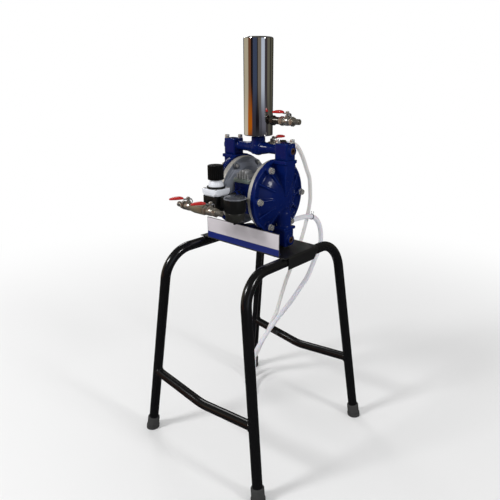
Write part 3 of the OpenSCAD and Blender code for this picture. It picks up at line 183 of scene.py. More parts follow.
class StageLooks(bpy.types.PropertyGroup):
    """Light and floor."""
    key_power: power_setting("Key", "Power of the key light", 46.0)
    fill_power: power_setting("Fill", "Power of the fill light", 20.0)
    back_power: power_setting("Back", "Power of the light from behind", 14.0)
    sky: FloatProperty(
        name="Sky", description="Strength of the even light", default=0.60, min=0, max=2)
    floor_colour: colour_setting("Floor", "Colour of the floor", (0.86, 0.86, 0.86))


# Nodes
def is_socket(value):
    return isinstance(value, bpy.types.NodeSocket)


def add(tree, kind, sockets=None, **settings):
    """A node; sockets gives its inputs a value, or the socket or sockets that feed them."""
    node = tree.nodes.new(kind)
    for name, value in settings.items():
        setattr(node, name, value)
    for key, value in (sockets or {}).items():
        if is_socket(value):
            tree.links.new(value, node.inputs[key])
        elif isinstance(value, list):
            for each in value:
                tree.links.new(each, node.inputs[key])
        else:
            node.inputs[key].default_value = value
    return node


def new_group(kind, name, inputs, outputs):
    """A node group with its sockets; inputs are (name, kind, default), outputs (name, kind)."""
    tree = bpy.data.node_groups.new(name, kind)
    for label, socket_kind, *default in inputs:
        socket = tree.interface.new_socket(label, in_out="INPUT",
                                           socket_type="NodeSocket" + socket_kind)
        if default:
            socket.default_value = default[0]
    for label, socket_kind in outputs:
        tree.interface.new_socket(label, in_out="OUTPUT",
                                  socket_type="NodeSocket" + socket_kind)
    return tree, tree.nodes.new("NodeGroupInput"), tree.nodes.new("NodeGroupOutput")


def maths(tree, operation, *values, clamp=False):
    """A math node whose operands are sockets or numbers."""
    return add(tree, "ShaderNodeMath", dict(enumerate(values)), operation=operation,
               use_clamp=clamp).outputs[0]


def mixed(tree, factor, a, b):
    """A colour mix of two sockets or colours."""
    a, b = (c if is_socket(c) else (*c, 1) for c in (a, b))
    return add(tree, "ShaderNodeMix", {0: factor, 6: a, 7: b}, data_type="RGBA").outputs[2]


def axes(tree, kind="Object"):
    """X, Y and Z of the coordinates of that kind."""
    coords = add(tree, "ShaderNodeTexCoord").outputs[kind]
    return add(tree, "ShaderNodeSeparateXYZ", {0: coords}).outputs


def object_noise(tree, scale, detail=3.0, stretch=(1, 1, 1)):
    """Noise on object coordinates; scale is a socket or a number."""
    coords = add(tree, "ShaderNodeTexCoord").outputs["Object"]
    mapping = add(tree, "ShaderNodeMapping", {"Vector": coords, "Scale": stretch})
    return add(tree, "ShaderNodeTexNoise", {"Vector": mapping.outputs[0], "Scale": scale,
                                            "Detail": detail}).outputs["Fac"]


def soft_step(tree, value, low, high):
    """From nought at low to one at high, softly."""
    return add(tree, "ShaderNodeMapRange", {"Value": value, "From Min": low, "From Max": high},
               interpolation_type="SMOOTHSTEP").outputs[0]


def shaders_mixed(tree, factor, a, b):
    return add(tree, "ShaderNodeMixShader", {0: factor, 1: a, 2: b}).outputs[0]


# Shader node groups
def tone_group():
    """Soft variation of a colour and of its roughness."""
    tree, into, out = new_group(
        "ShaderNodeTree", "tone_variation",
        [("Colour", "Color", (0.5, 0.5, 0.5, 1)), ("Tone", "Float", 0.1),
         ("Scale", "Float", 30.0), ("Roughness", "Float", 0.4), ("Spread", "Float", 0.08)],
        [("Colour", "Color"), ("Roughness", "Float")])
    given = into.outputs
    noise = object_noise(tree, given["Scale"], 4.0)
    swing = maths(tree, "MULTIPLY_ADD", noise, 2.0, -1.0)
    shade = add(tree, "ShaderNodeHueSaturation", {
        "Color": given["Colour"],
        "Value": maths(tree, "MULTIPLY_ADD", swing, given["Tone"], 1.0)})
    tree.links.new(shade.outputs["Color"], out.inputs["Colour"])
    fine = object_noise(tree, maths(tree, "MULTIPLY", given["Scale"], 3.7), 2.0)
    fine_swing = maths(tree, "MULTIPLY_ADD", fine, 2.0, -1.0)
    rough = maths(tree, "MULTIPLY_ADD", fine_swing, given["Spread"], given["Roughness"])
    tree.links.new(rough, out.inputs["Roughness"])
    return tree


def grain_group():
    """Fine relief, as of a casting, paint or moulded plastic."""
    tree, into, out = new_group(
        "ShaderNodeTree", "surface_grain",
        [("Scale", "Float", 300.0), ("Strength", "Float", 0.2), ("Depth", "Float", 0.0002)],
        [("Normal", "Vector")])
    bump = add(tree, "ShaderNodeBump", {
        "Height": object_noise(tree, into.outputs["Scale"], 2.0),
        "Strength": into.outputs["Strength"], "Distance": into.outputs["Depth"]})
    tree.links.new(bump.outputs["Normal"], out.inputs["Normal"])
    return tree


def wear_group():
    """A mask of raised edges, broken up by noise: worn edges on some finishes, painted highlights
    on others.
    """
    tree, into, out = new_group(
        "ShaderNodeTree", "edge_wear",
        [("Reach", "Float", 0.52), ("Amount", "Float", 0.5), ("Scale", "Float", 90.0)],
        [("Mask", "Float")])
    geometry = add(tree, "ShaderNodeNewGeometry")
    over = maths(tree, "SUBTRACT", geometry.outputs["Pointiness"], into.outputs["Reach"])
    sharp = maths(tree, "MULTIPLY", over, 18.0, clamp=True)
    noise = object_noise(tree, into.outputs["Scale"], 5.0)
    broken = maths(tree, "MULTIPLY", sharp, maths(tree, "MULTIPLY", noise, 1.6))
    mask = maths(tree, "MULTIPLY", broken, into.outputs["Amount"], clamp=True)
    tree.links.new(mask, out.inputs["Mask"])
    return tree


GROUPS = {}


def place_group(tree, group, **values):
    """One of the groups in a material, with its own values."""
    return add(tree, "ShaderNodeGroup", values, node_tree=GROUPS[group])


# Finishes
def surface(name, colour, roughness, metallic=0.0, tone=0.08, scale=35.0, spread=0.05,
            grain=None, wear=None, **plain):
    """A finish: colour and roughness vary over it, with a grain if asked, and paler edges if
    asked, which are worn edges on some finishes and painted highlights on others.
    """
    if not GROUPS:
        GROUPS.update(tone=tone_group(), grain=grain_group(), wear=wear_group())
    material = bpy.data.materials.new(name)
    material.use_nodes = True
    tree = material.node_tree
    shader = tree.nodes["Principled BSDF"]
    shader.inputs["Metallic"].default_value = metallic
    for label, value in plain.items():
        shader.inputs[label.replace("_", " ")].default_value = value
    tint = place_group(tree, "tone", Colour=(*colour, 1), Tone=tone, Scale=scale,
                       Roughness=roughness, Spread=spread)
    base = tint.outputs["Colour"]
    # Paler edges: worn on the nickel and brass fittings, a painted highlight on the blue paint and
    # the smoke lid, both on the blasted casting.
    if wear:
        worn_and_lit = place_group(tree, "wear", Amount=wear[1])
        base = mixed(tree, worn_and_lit.outputs["Mask"], base, wear[0])
    tree.links.new(base, shader.inputs["Base Color"])
    tree.links.new(tint.outputs["Roughness"], shader.inputs["Roughness"])
    if grain:
        relief = place_group(tree, "grain", Scale=grain[0], Strength=grain[1],
                             Depth=grain[2] * MM)
        tree.links.new(relief.outputs["Normal"], shader.inputs["Normal"])
    return material


def pale_rim(tree, base):
    """A painted highlight: a paler rim all round the flange of the blasted casting."""
    coords = add(tree, "ShaderNodeTexCoord").outputs["Object"]
    centred = add(tree, "ShaderNodeMapping", {
        "Vector": coords, "Location": (0, -PUMP_Y, -PUMP_Z), "Scale": (0, 1, 1)})
    radius = add(tree, "ShaderNodeVectorMath", {0: centred.outputs[0]}, operation="LENGTH")
    low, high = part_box("air_chamber_left")
    rim = maths(tree, "GREATER_THAN", radius.outputs["Value"], (high.z - low.z) / 2 - 1.6 * MM)
    return mixed(tree, rim, base, (0.42, 0.40, 0.36))


def dark_fins(tree, base):
    """Above the cap's green-grey plate the fins are painted dark for the shade between them, with
    painted highlights along their edges.
    """
    plate_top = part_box("air_valve_cap")[0].z + 8.2 * MM
    above = maths(tree, "GREATER_THAN", axes(tree)["Z"], plate_top)
    # Painted highlights along the fins' edges, over the painted shade.
    worn_and_lit = place_group(tree, "wear", Amount=0.95)
    fins = mixed(tree, worn_and_lit.outputs["Mask"], (0.035, 0.035, 0.037), (0.66, 0.66, 0.66))
    return mixed(tree, above, base, fins)


def blue_band(tree, base):
    """The silver plate's blue band along its lower third, and its dark edge."""
    low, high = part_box("sign_plate")
    x, _, z = axes(tree)
    band = maths(tree, "LESS_THAN", z, low.z + 0.31 * (high.z - low.z))
    blue = mixed(tree, band, base, (0.009, 0.020, 0.165))
    edge = 1.3 * MM
    over = maths(tree, "GREATER_THAN", z, high.z - edge)
    left = maths(tree, "LESS_THAN", x, low.x + edge)
    right = maths(tree, "GREATER_THAN", x, high.x - edge)
    under = maths(tree, "LESS_THAN", z, low.z + edge)
    rim = maths(tree, "MAXIMUM", maths(tree, "MAXIMUM", over, left),
                maths(tree, "MAXIMUM", right, under))
    return mixed(tree, rim, blue, (0.05, 0.05, 0.06))


def polishing_lines(tree, base):
    """Faint polishing lines round the mirror shell."""
    bump = add(tree, "ShaderNodeBump", {
        "Strength": 0.05, "Distance": 0.4 * MM,
        "Height": object_noise(tree, 22.0, 2.0, stretch=(1, 1, 0.08))})
    tree.links.new(bump.outputs["Normal"], tree.nodes["Principled BSDF"].inputs["Normal"])
    return base


# Each finish: its colour or the setting that holds it, its roughness, and what else differs
# from a plain surface; grain is scale, strength and depth in mm, the edge tint is colour and
# amount
FINISHES = {
    "gloss_black_coat": (("pump_stand", "tube_colour"), 0.22, dict(
        tone=0.25, scale=22, grain=(420, 0.10, 0.3), Coat_Weight=0.35, Coat_Roughness=0.10,
        Specular_IOR_Level=0.35)),
    "satin_black_coat": ((0.008, 0.008, 0.008), 0.36, dict(
        tone=0.3, scale=18, spread=0.08, grain=(650, 0.16, 0.3), Coat_Weight=0.2,
        Coat_Roughness=0.3)),
    "foot_rubber": (("pump_stand", "rubber_colour"), 0.62, dict(
        tone=0.3, scale=60, grain=(900, 0.3, 0.2), Specular_IOR_Level=0.1)),
    # The paler blue on its edges is a painted highlight.
    "cobalt_gloss_paint": (("pump_finish", "paint_colour"), 0.26, dict(
        tone=0.16, scale=24, grain=(260, 0.17, 0.5), wear=((0.02, 0.055, 0.30), 0.35),
        Coat_Weight=0.2, Coat_Roughness=0.07, Specular_IOR_Level=0.08)),
    # Its paler edges are worn metal and painted highlight both; its paler rim is a painted
    # highlight.
    "blasted_casting": (("pump_finish", "cast_colour"), 0.44, dict(
        metallic=0.35, tone=0.12, scale=60, spread=0.06, grain=(900, 0.35, 0.3),
        wear=((0.58, 0.59, 0.62), 0.7))),
    # Its fins are painted dark as shade, with painted highlights on their edges.
    "green_grey_casting": ((0.20, 0.245, 0.22), 0.36, dict(
        metallic=0.3, tone=0.12, scale=80, grain=(1000, 0.3, 0.2))),
    "bright_zinc": ((0.68, 0.665, 0.63), 0.25, dict(
        metallic=0.75, tone=0.16, scale=240, spread=0.10, grain=(1400, 0.08, 0.2))),
    "dull_zinc": ((0.22, 0.23, 0.25), 0.42, dict(
        metallic=0.8, tone=0.16, scale=200, spread=0.10, grain=(1400, 0.08, 0.2))),
    "plug_steel": ((0.16, 0.095, 0.075), 0.30, dict(
        metallic=0.8, tone=0.16, scale=160, spread=0.10, grain=(1200, 0.10, 0.2))),
    "ground_steel": ((0.66, 0.66, 0.67), 0.20, dict(metallic=1.0, tone=0.06, scale=120)),
    "membrane_rubber": ((0.016, 0.016, 0.017), 0.55, dict(
        tone=0.2, scale=80, grain=(900, 0.2, 0.2))),
    "check_ball": ((0.80, 0.78, 0.72), 0.35, dict(tone=0.04, scale=60)),
    "nickel_plate": ((0.50, 0.48, 0.43), 0.31, dict(
        metallic=0.9, tone=0.14, scale=130, spread=0.08, grain=(700, 0.10, 0.3),
        wear=((0.56, 0.44, 0.30), 0.5))),
    "pale_brass": ((0.36, 0.325, 0.235), 0.33, dict(
        metallic=0.85, tone=0.14, scale=120, spread=0.08, grain=(700, 0.12, 0.3),
        wear=((0.62, 0.56, 0.42), 0.5))),
    "dark_nickel": ((0.070, 0.064, 0.055), 0.30, dict(
        metallic=0.8, tone=0.16, scale=120, spread=0.08, grain=(700, 0.10, 0.3))),
    "moulded_black": ((0.006, 0.006, 0.006), 0.32, dict(
        tone=0.25, scale=50, spread=0.07, grain=(1100, 0.2, 0.2), Specular_IOR_Level=0.3)),
    "bowl_olive": ((0.020, 0.020, 0.017), 0.34, dict(
        tone=0.25, scale=60, spread=0.07, grain=(900, 0.2, 0.2), Specular_IOR_Level=0.35)),
    "knob_black": ((0.0030, 0.0028, 0.0028), 0.36, dict(
        tone=0.25, scale=60, grain=(1300, 0.2, 0.2), Specular_IOR_Level=0.14)),
    "moulded_white": ((0.80, 0.82, 0.88), 0.30, dict(
        tone=0.04, scale=45, grain=(900, 0.08, 0.2), Coat_Weight=0.2)),
    # Its pale edges are a painted highlight.
    "smoke_grey_moulding": ((0.020, 0.021, 0.028), 0.24, dict(
        tone=0.12, scale=60, spread=0.06, grain=(900, 0.12, 0.2),
        wear=((0.50, 0.52, 0.58), 0.9), Coat_Weight=0.5)),
    "pressed_steel": ((0.42, 0.42, 0.43), 0.30, dict(
        metallic=1.0, tone=0.10, scale=160, spread=0.08)),
    "red_vinyl": (("pump_fittings", "sleeve_colour"), 0.33, dict(
        tone=0.12, scale=70, spread=0.08, grain=(500, 0.15, 0.3), Coat_Weight=0.15)),
    "milky_hose": (("pump_hoses", "colour"), 0.32, dict(
        tone=0.03, scale=14, spread=0.06, Coat_Weight=0.15, Subsurface_Weight=0.15,
        Subsurface_Scale=0.003)),
    "cream_hose": ((0.77, 0.755, 0.745), 0.34, dict(
        tone=0.03, scale=14, spread=0.06, Coat_Weight=0.15, Subsurface_Weight=0.15,
        Subsurface_Scale=0.003)),
    "mirror_polish": ((0.80, 0.79, 0.78), 0.045, dict(
        metallic=1.0, tone=0.02, scale=20, spread=0.015)),
    "sign_plate_finish": ((0.58, 0.545, 0.57), 0.42, dict(
        tone=0.05, scale=25, spread=0.06, grain=(900, 0.10, 0.2), Specular_IOR_Level=0.25)),
}
# Painted highlight on the casting's rim, painted shade and highlights on the cap's fins; the
# sign's blue band is print.
EXTRAS = {"blasted_casting": pale_rim, "green_grey_casting": dark_fins,
          "sign_plate_finish": blue_band, "mirror_polish": polishing_lines}


def finish(name):
    """The material of one of the finishes, made when it is first asked for."""
    if name in bpy.data.materials:
        return bpy.data.materials[name]
    colour, roughness, more = FINISHES[name]
    if isinstance(colour[0], str):
        colour = getattr(getattr(bpy.context.scene, colour[0]), colour[1])
    material = surface(name, colour, roughness, **more)
    if name in EXTRAS:
        tree = material.node_tree
        socket = tree.nodes["Principled BSDF"].inputs["Base Color"]
        tree.links.new(EXTRAS[name](tree, socket.links[0].from_socket), socket)
    return material


# Making pieces; sizes and places are in mm from here on, unless a comment says metres
Corner = namedtuple("Corner", "x y z")


def at(x, y, z=0):
    """A move by millimetres."""
    return Matrix.Translation((x * MM, y * MM, z * MM))


def measured(node):
    """The low and high corners of a node's box."""
    return [Corner(*(c / MM for c in corner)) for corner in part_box(node)]


def link(obj):
    bpy.context.scene.collection.objects.link(obj)
    return obj


def evaluated(obj, name=None):
    """A plain mesh object of what obj's modifiers make; obj is removed."""
    graph = bpy.context.evaluated_depsgraph_get()
    mesh = bpy.data.meshes.new_from_object(obj.evaluated_get(graph))
    made = link(bpy.data.objects.new(name or obj.name + "_made", mesh))
    old = obj.data
    bpy.data.objects.remove(obj)
    if old.users == 0:
        bpy.data.meshes.remove(old)
    return made


def finish_piece(obj, name, material, body, nodes=()):
    """Names a piece, gives it its finish, and lets it ride on its body."""
    obj.name = name
    obj.data.name = name
    obj.data.materials.clear()
    obj.data.materials.append(material)
    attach(obj, body)
    if nodes:
        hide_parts(*nodes)
    return obj


def dress(node, obj, look):
    """A made piece in the place of one CAD node."""
    return finish_piece(obj, "look_" + node, finish(look), BODY_OF[node], [node])


def paint(look, *nodes):
    """A finish on CAD nodes that stay as they are."""
    for node in nodes:
        slots = NODES[node].data.materials
        slots.clear()
        slots.append(finish(look))


def merged_copy(node):
    """A copy of a CAD node's mesh with its faces joined and its flat faces whole."""
    mesh = NODES[node].data.copy()
    edit = bmesh.new()
    edit.from_mesh(mesh)
    bmesh.ops.remove_doubles(edit, verts=edit.verts, dist=2e-6)
    bmesh.ops.dissolve_limit(edit, angle_limit=math.radians(0.6), verts=edit.verts,
                             edges=edit.edges)
    edit.to_mesh(mesh)
    edit.free()
    if mesh.has_custom_normals:
        mesh.attributes.remove(mesh.attributes["custom_normal"])
    return link(bpy.data.objects.new(node + "_copy", mesh))


def smooth_by_angle(obj, degrees):
    """Smooth faces, with edges over the angle kept sharp."""
    for face in obj.data.polygons:
        face.use_smooth = True
    obj.data.set_sharp_from_angle(angle=math.radians(degrees))
    return obj


def bevelled(obj, width, angle):
    """The object with its edges over the angle rounded."""
    bevel = obj.modifiers.new("edges", "BEVEL")
    bevel.width = width * MM
    bevel.segments = 2
    bevel.limit_method = "ANGLE"
    bevel.angle_limit = math.radians(angle)
    bevel.use_clamp_overlap = True
    return smooth_by_angle(evaluated(obj), 50)


def softened(node, width):
    """A node's copy with its edges rounded."""
    return bevelled(merged_copy(node), width, 32)


def rounded_edges(edit, name, width, angle=25):
    """The mesh as an object with its sharp edges rounded."""
    return bevelled(object_from(edit, name), width, angle)


def cast_copy(node, cell, rounds=5):
    """A node's copy with the soft edges of a painted casting; the cell is in metres."""
    obj = merged_copy(node)
    cells = obj.modifiers.new("cells", "REMESH")
    cells.mode = "VOXEL"
    cells.voxel_size = cell
    cells.use_smooth_shade = True
    ease = obj.modifiers.new("ease", "SMOOTH")
    ease.factor = 0.5
    ease.iterations = rounds
    made = evaluated(obj)
    for face in made.data.polygons:
        face.use_smooth = True
    return made


def join_into(target, source, matrix=None):
    """Adds one bmesh to another, moved by the matrix."""
    if matrix is not None:
        source.transform(matrix)
    scratch = bpy.data.meshes.new("scratch")
    source.to_mesh(scratch)
    target.from_mesh(scratch)
    bpy.data.meshes.remove(scratch)
    source.free()


def object_from(edit, name):
    mesh = bpy.data.meshes.new(name)
    edit.to_mesh(mesh)
    edit.free()
    return link(bpy.data.objects.new(name, mesh))


def round_angles(count):
    return [2 * math.pi * i / count for i in range(count)]


def bridge(edit, a, b):
    """Faces between two rings of corners."""
    count = len(a)
    for i in range(count):
        edit.faces.new([a[i], a[(i + 1) % count], b[(i + 1) % count], b[i]])


def skin(edit, rings):
    """Faces along a row of rings and over both ends."""
    for a, b in zip(rings, rings[1:]):
        bridge(edit, a, b)
    edit.faces.new(rings[0])
    edit.faces.new(rings[-1])
    bmesh.ops.recalc_face_normals(edit, faces=edit.faces)
    return edit


def lathe(profile, sides=48, axis="Z", base=0):
    """A closed turned mesh from (radius, height over the base), from the axis out and back."""
    edit = bmesh.new()
    rings = []
    for radius, height in profile:
        z = (base + height) * MM
        if radius == 0:
            rings.append([edit.verts.new((0, 0, z))])
        else:
            rings.append([edit.verts.new((radius * MM * math.cos(a), radius * MM * math.sin(a), z))
                          for a in round_angles(sides)])
    for a, b in zip(rings, rings[1:]):
        for i in range(sides):
            corners = [a[i % len(a)], a[(i + 1) % len(a)], b[(i + 1) % len(b)], b[i % len(b)]]
            unique = list(dict.fromkeys(corners))
            if len(unique) > 2:
                edit.faces.new(unique)
    if len(rings[0]) > 1 and len(rings[-1]) > 1:
        bridge(edit, rings[-1], rings[0])
    bmesh.ops.recalc_face_normals(edit, faces=edit.faces)
    if axis == "X":
        bmesh.ops.rotate(edit, verts=edit.verts, matrix=Matrix.Rotation(math.pi / 2, 3, "Y"))
    return edit


def stacked(levels, outline):
    """A closed mesh along Z from (height, *shape) levels; outline gives a level's points."""
    edit = bmesh.new()
    return skin(edit, [[edit.verts.new((x * MM, y * MM, height * MM))
                        for x, y in outline(*shape)] for height, *shape in levels])


def rectangle(half_x, half_y):
    return [(half_x, -half_y), (half_x, half_y), (-half_x, half_y), (-half_x, -half_y)]


def cut_square(half, cut):
    """The corners of a square with its corners cut off."""
    near = half - cut
    return [(half, -near), (half, near), (near, half), (-near, half),
            (-half, near), (-half, -near), (-near, -half), (near, -half)]


def soft_rectangle(half_x, half_y, radius, steps=4):
    """The points of a rectangle with round corners."""
    points = []
    for quarter, (sx, sy) in enumerate(((1, 1), (-1, 1), (-1, -1), (1, -1))):
        for k in range(steps + 1):
            angle = math.pi / 2 * (quarter + k / steps)
            points.append((sx * (half_x - radius) + radius * math.cos(angle),
                           sy * (half_y - radius) + radius * math.sin(angle)))
    return points


def octagon(radius):
    return [(radius * math.cos(math.pi / 8 + a), radius * math.sin(math.pi / 8 + a))
            for a in round_angles(8)]


def hex_prism(across, x0, x1, chamfer):
    """A hexagon along X with its end corners turned off, as on bolts and nipples."""
    edit = bmesh.new()
    flat = across / 2 * 0.985
    rings = []
    for x, whole in ((x0, False), (x0 + chamfer, True), (x1 - chamfer, True), (x1, False)):
        ring = []
        for angle in round_angles(48):
            out = across / 2 / math.cos((angle + math.pi / 6) % (math.pi / 3) - math.pi / 6)
            radius = (out if whole else min(out, flat + (out - flat) * 0.25)) * MM
            ring.append(edit.verts.new((x * MM, radius * math.cos(angle),
                                        radius * math.sin(angle))))
        rings.append(ring)
    return skin(edit, rings)


def shank(x0, x1, radius):
    """The plain part of a bolt, along X."""
    edge = 0.3
    return lathe([(0, x0), (radius - edge, x0), (radius, x0 + edge), (radius, x1 - edge),
                  (radius - edge, x1), (0, x1)], 24, "X")


def washer(hole, radius, slant, seat, thick, sides):
    """A disc along X with slanted rims."""
    rim = radius + slant
    return lathe([(hole, 0), (radius, 0), (rim, slant), (rim, thick - slant),
                  (radius, thick), (hole, thick)], sides, "X", seat)


def thread(x0, x1, radius, depth, pitch, sides=28):
    """A rod along X with a helical thread, closed at both ends."""
    edit = bmesh.new()
    steps = max(int((x1 - x0) / pitch * 4), 4)
    rings = []
    for k in range(steps + 1):
        x = x0 + (x1 - x0) * k / steps
        fade = min(1.0, (x - x0) / pitch + 0.2, (x1 - x) / pitch + 0.2)
        ring = []
        for i, angle in enumerate(round_angles(sides)):
            phase = (x / pitch + i / sides) % 1.0
            r = (radius - depth + depth * (1 - abs(2 * phase - 1)) * fade) * MM
            ring.append(edit.verts.new((x * MM, r * math.cos(angle), r * math.sin(angle))))
        rings.append(ring)
    return skin(edit, rings)


# Geometry Nodes
def geometry_tree(name, inputs):
    """A geometry tree with a geometry in and out and named inputs."""
    return new_group("GeometryNodeTree", name, [("Geometry", "Geometry"), *inputs],
                     [("Geometry", "Geometry")])


def end_tree(tree, geometry, into, out):
    """Realises the instances, sets the finish and ends the tree."""
    real = add(tree, "GeometryNodeRealizeInstances", {0: geometry})
    done = add(tree, "GeometryNodeSetMaterial", {
        "Geometry": real.outputs[0], "Material": into.outputs["Material"]})
    tree.links.new(done.outputs[0], out.inputs[0])
    return tree


def run_tree(obj, build, name, **values):
    """Runs a tree, built when it is first asked for, and returns a plain mesh object."""
    modifier = obj.modifiers.new("build", "NODES")
    tree = bpy.data.node_groups.get(build.__name__) or build(build.__name__)
    modifier.node_group = tree
    for item in tree.interface.items_tree:
        key = item.name.replace(" ", "_")
        if item.in_out == "INPUT" and key in values:
            value = values[key]
            modifier[item.identifier] = tuple(value) if isinstance(value, Vector) else value
    return evaluated(obj, name)


def moved(tree, geometry, **place):
    """The geometry, moved or turned."""
    return add(tree, "GeometryNodeTransform", {"Geometry": geometry, **place}).outputs[0]


def both_sides(tree, geometry, into, out):
    """Ends a tree with the geometry and a copy turned half round, both moved to Centre."""
    other = moved(tree, geometry, Rotation=(0, 0, math.pi))
    both = add(tree, "GeometryNodeJoinGeometry", {0: [geometry, other]})
    centred = moved(tree, both.outputs[0], Translation=into.outputs["Centre"])
    return end_tree(tree, centred, into, out)


def ring_of_fasteners(name):
    """Copies of one fastener round two circles that face away from each other along X."""
    tree, into, out = geometry_tree(name, [
        ("Count", "Int"), ("Circle", "Float"), ("Centre", "Vector"), ("Material", "Material")])
    circle = add(tree, "GeometryNodeMeshCircle", {
        "Vertices": into.outputs["Count"], "Radius": into.outputs["Circle"]})
    stand = moved(tree, circle.outputs["Mesh"], Rotation=(0, math.pi / 2, 0))
    points = moved(tree, stand, Rotation=(math.pi / 2, 0, 0))
    copies = add(tree, "GeometryNodeInstanceOnPoints", {
        "Points": points, "Instance": into.outputs["Geometry"]})
    return both_sides(tree, copies.outputs[0], into, out)


def fasteners_on_blocks(name):
    """Copies of a fastener on opposite corners of two blocks, left and right of Centre."""
    tree, into, out = geometry_tree(name, [
        ("Across", "Float"), ("Along", "Float"), ("Corner X", "Float"), ("Corner Y", "Float"),
        ("Centre", "Vector"), ("Material", "Material")])
    given = into.outputs
    corners = []
    for sign in (1, -1):
        place = add(tree, "ShaderNodeCombineXYZ", {
            0: maths(tree, "MULTIPLY_ADD", given["Corner X"], sign, given["Along"]),
            1: maths(tree, "MULTIPLY_ADD", given["Corner Y"], sign, given["Across"])})
        corners.append(moved(tree, given["Geometry"], Translation=place.outputs[0]))
    pair = add(tree, "GeometryNodeJoinGeometry", {0: corners})
    return both_sides(tree, pair.outputs[0], into, out)


def bead_on_path(name):
    """A weld bead or a wire along the input's edges."""
    tree, into, out = geometry_tree(name, [
        ("Radius", "Float"), ("Ripple", "Float"), ("Material", "Material")])
    curve = add(tree, "GeometryNodeMeshToCurve", {0: into.outputs["Geometry"]})
    outline = add(tree, "GeometryNodeCurvePrimitiveCircle", {
        "Resolution": 10, "Radius": into.outputs["Radius"]})
    tube = add(tree, "GeometryNodeCurveToMesh", {
        "Curve": curve.outputs[0], "Profile Curve": outline.outputs[0], "Fill Caps": True})
    noise = add(tree, "ShaderNodeTexNoise", {"Scale": 420})
    level = maths(tree, "SUBTRACT", noise.outputs["Fac"], 0.5)
    push = add(tree, "ShaderNodeVectorMath", {
        0: add(tree, "GeometryNodeInputNormal").outputs[0],
        "Scale": maths(tree, "MULTIPLY", level, into.outputs["Ripple"])}, operation="SCALE")
    shift = add(tree, "GeometryNodeSetPosition", {
        "Geometry": tube.outputs[0], "Offset": push.outputs[0]})
    smooth = add(tree, "GeometryNodeSetShadeSmooth", {"Geometry": shift.outputs[0]})
    return end_tree(tree, smooth.outputs[0], into, out)


def path_object(loops, closed, name):
    """Loose edges along each list of points, in metres."""
    verts, edges = [], []
    for points in loops:
        start, count = len(verts), len(points)
        verts += [tuple(p) for p in points]
        edges += [(start + i, start + (i + 1) % count) for i in range(count - (not closed))]
    mesh = bpy.data.meshes.new(name)
    mesh.from_pydata(verts, edges, [])
    return link(bpy.data.objects.new(name, mesh))


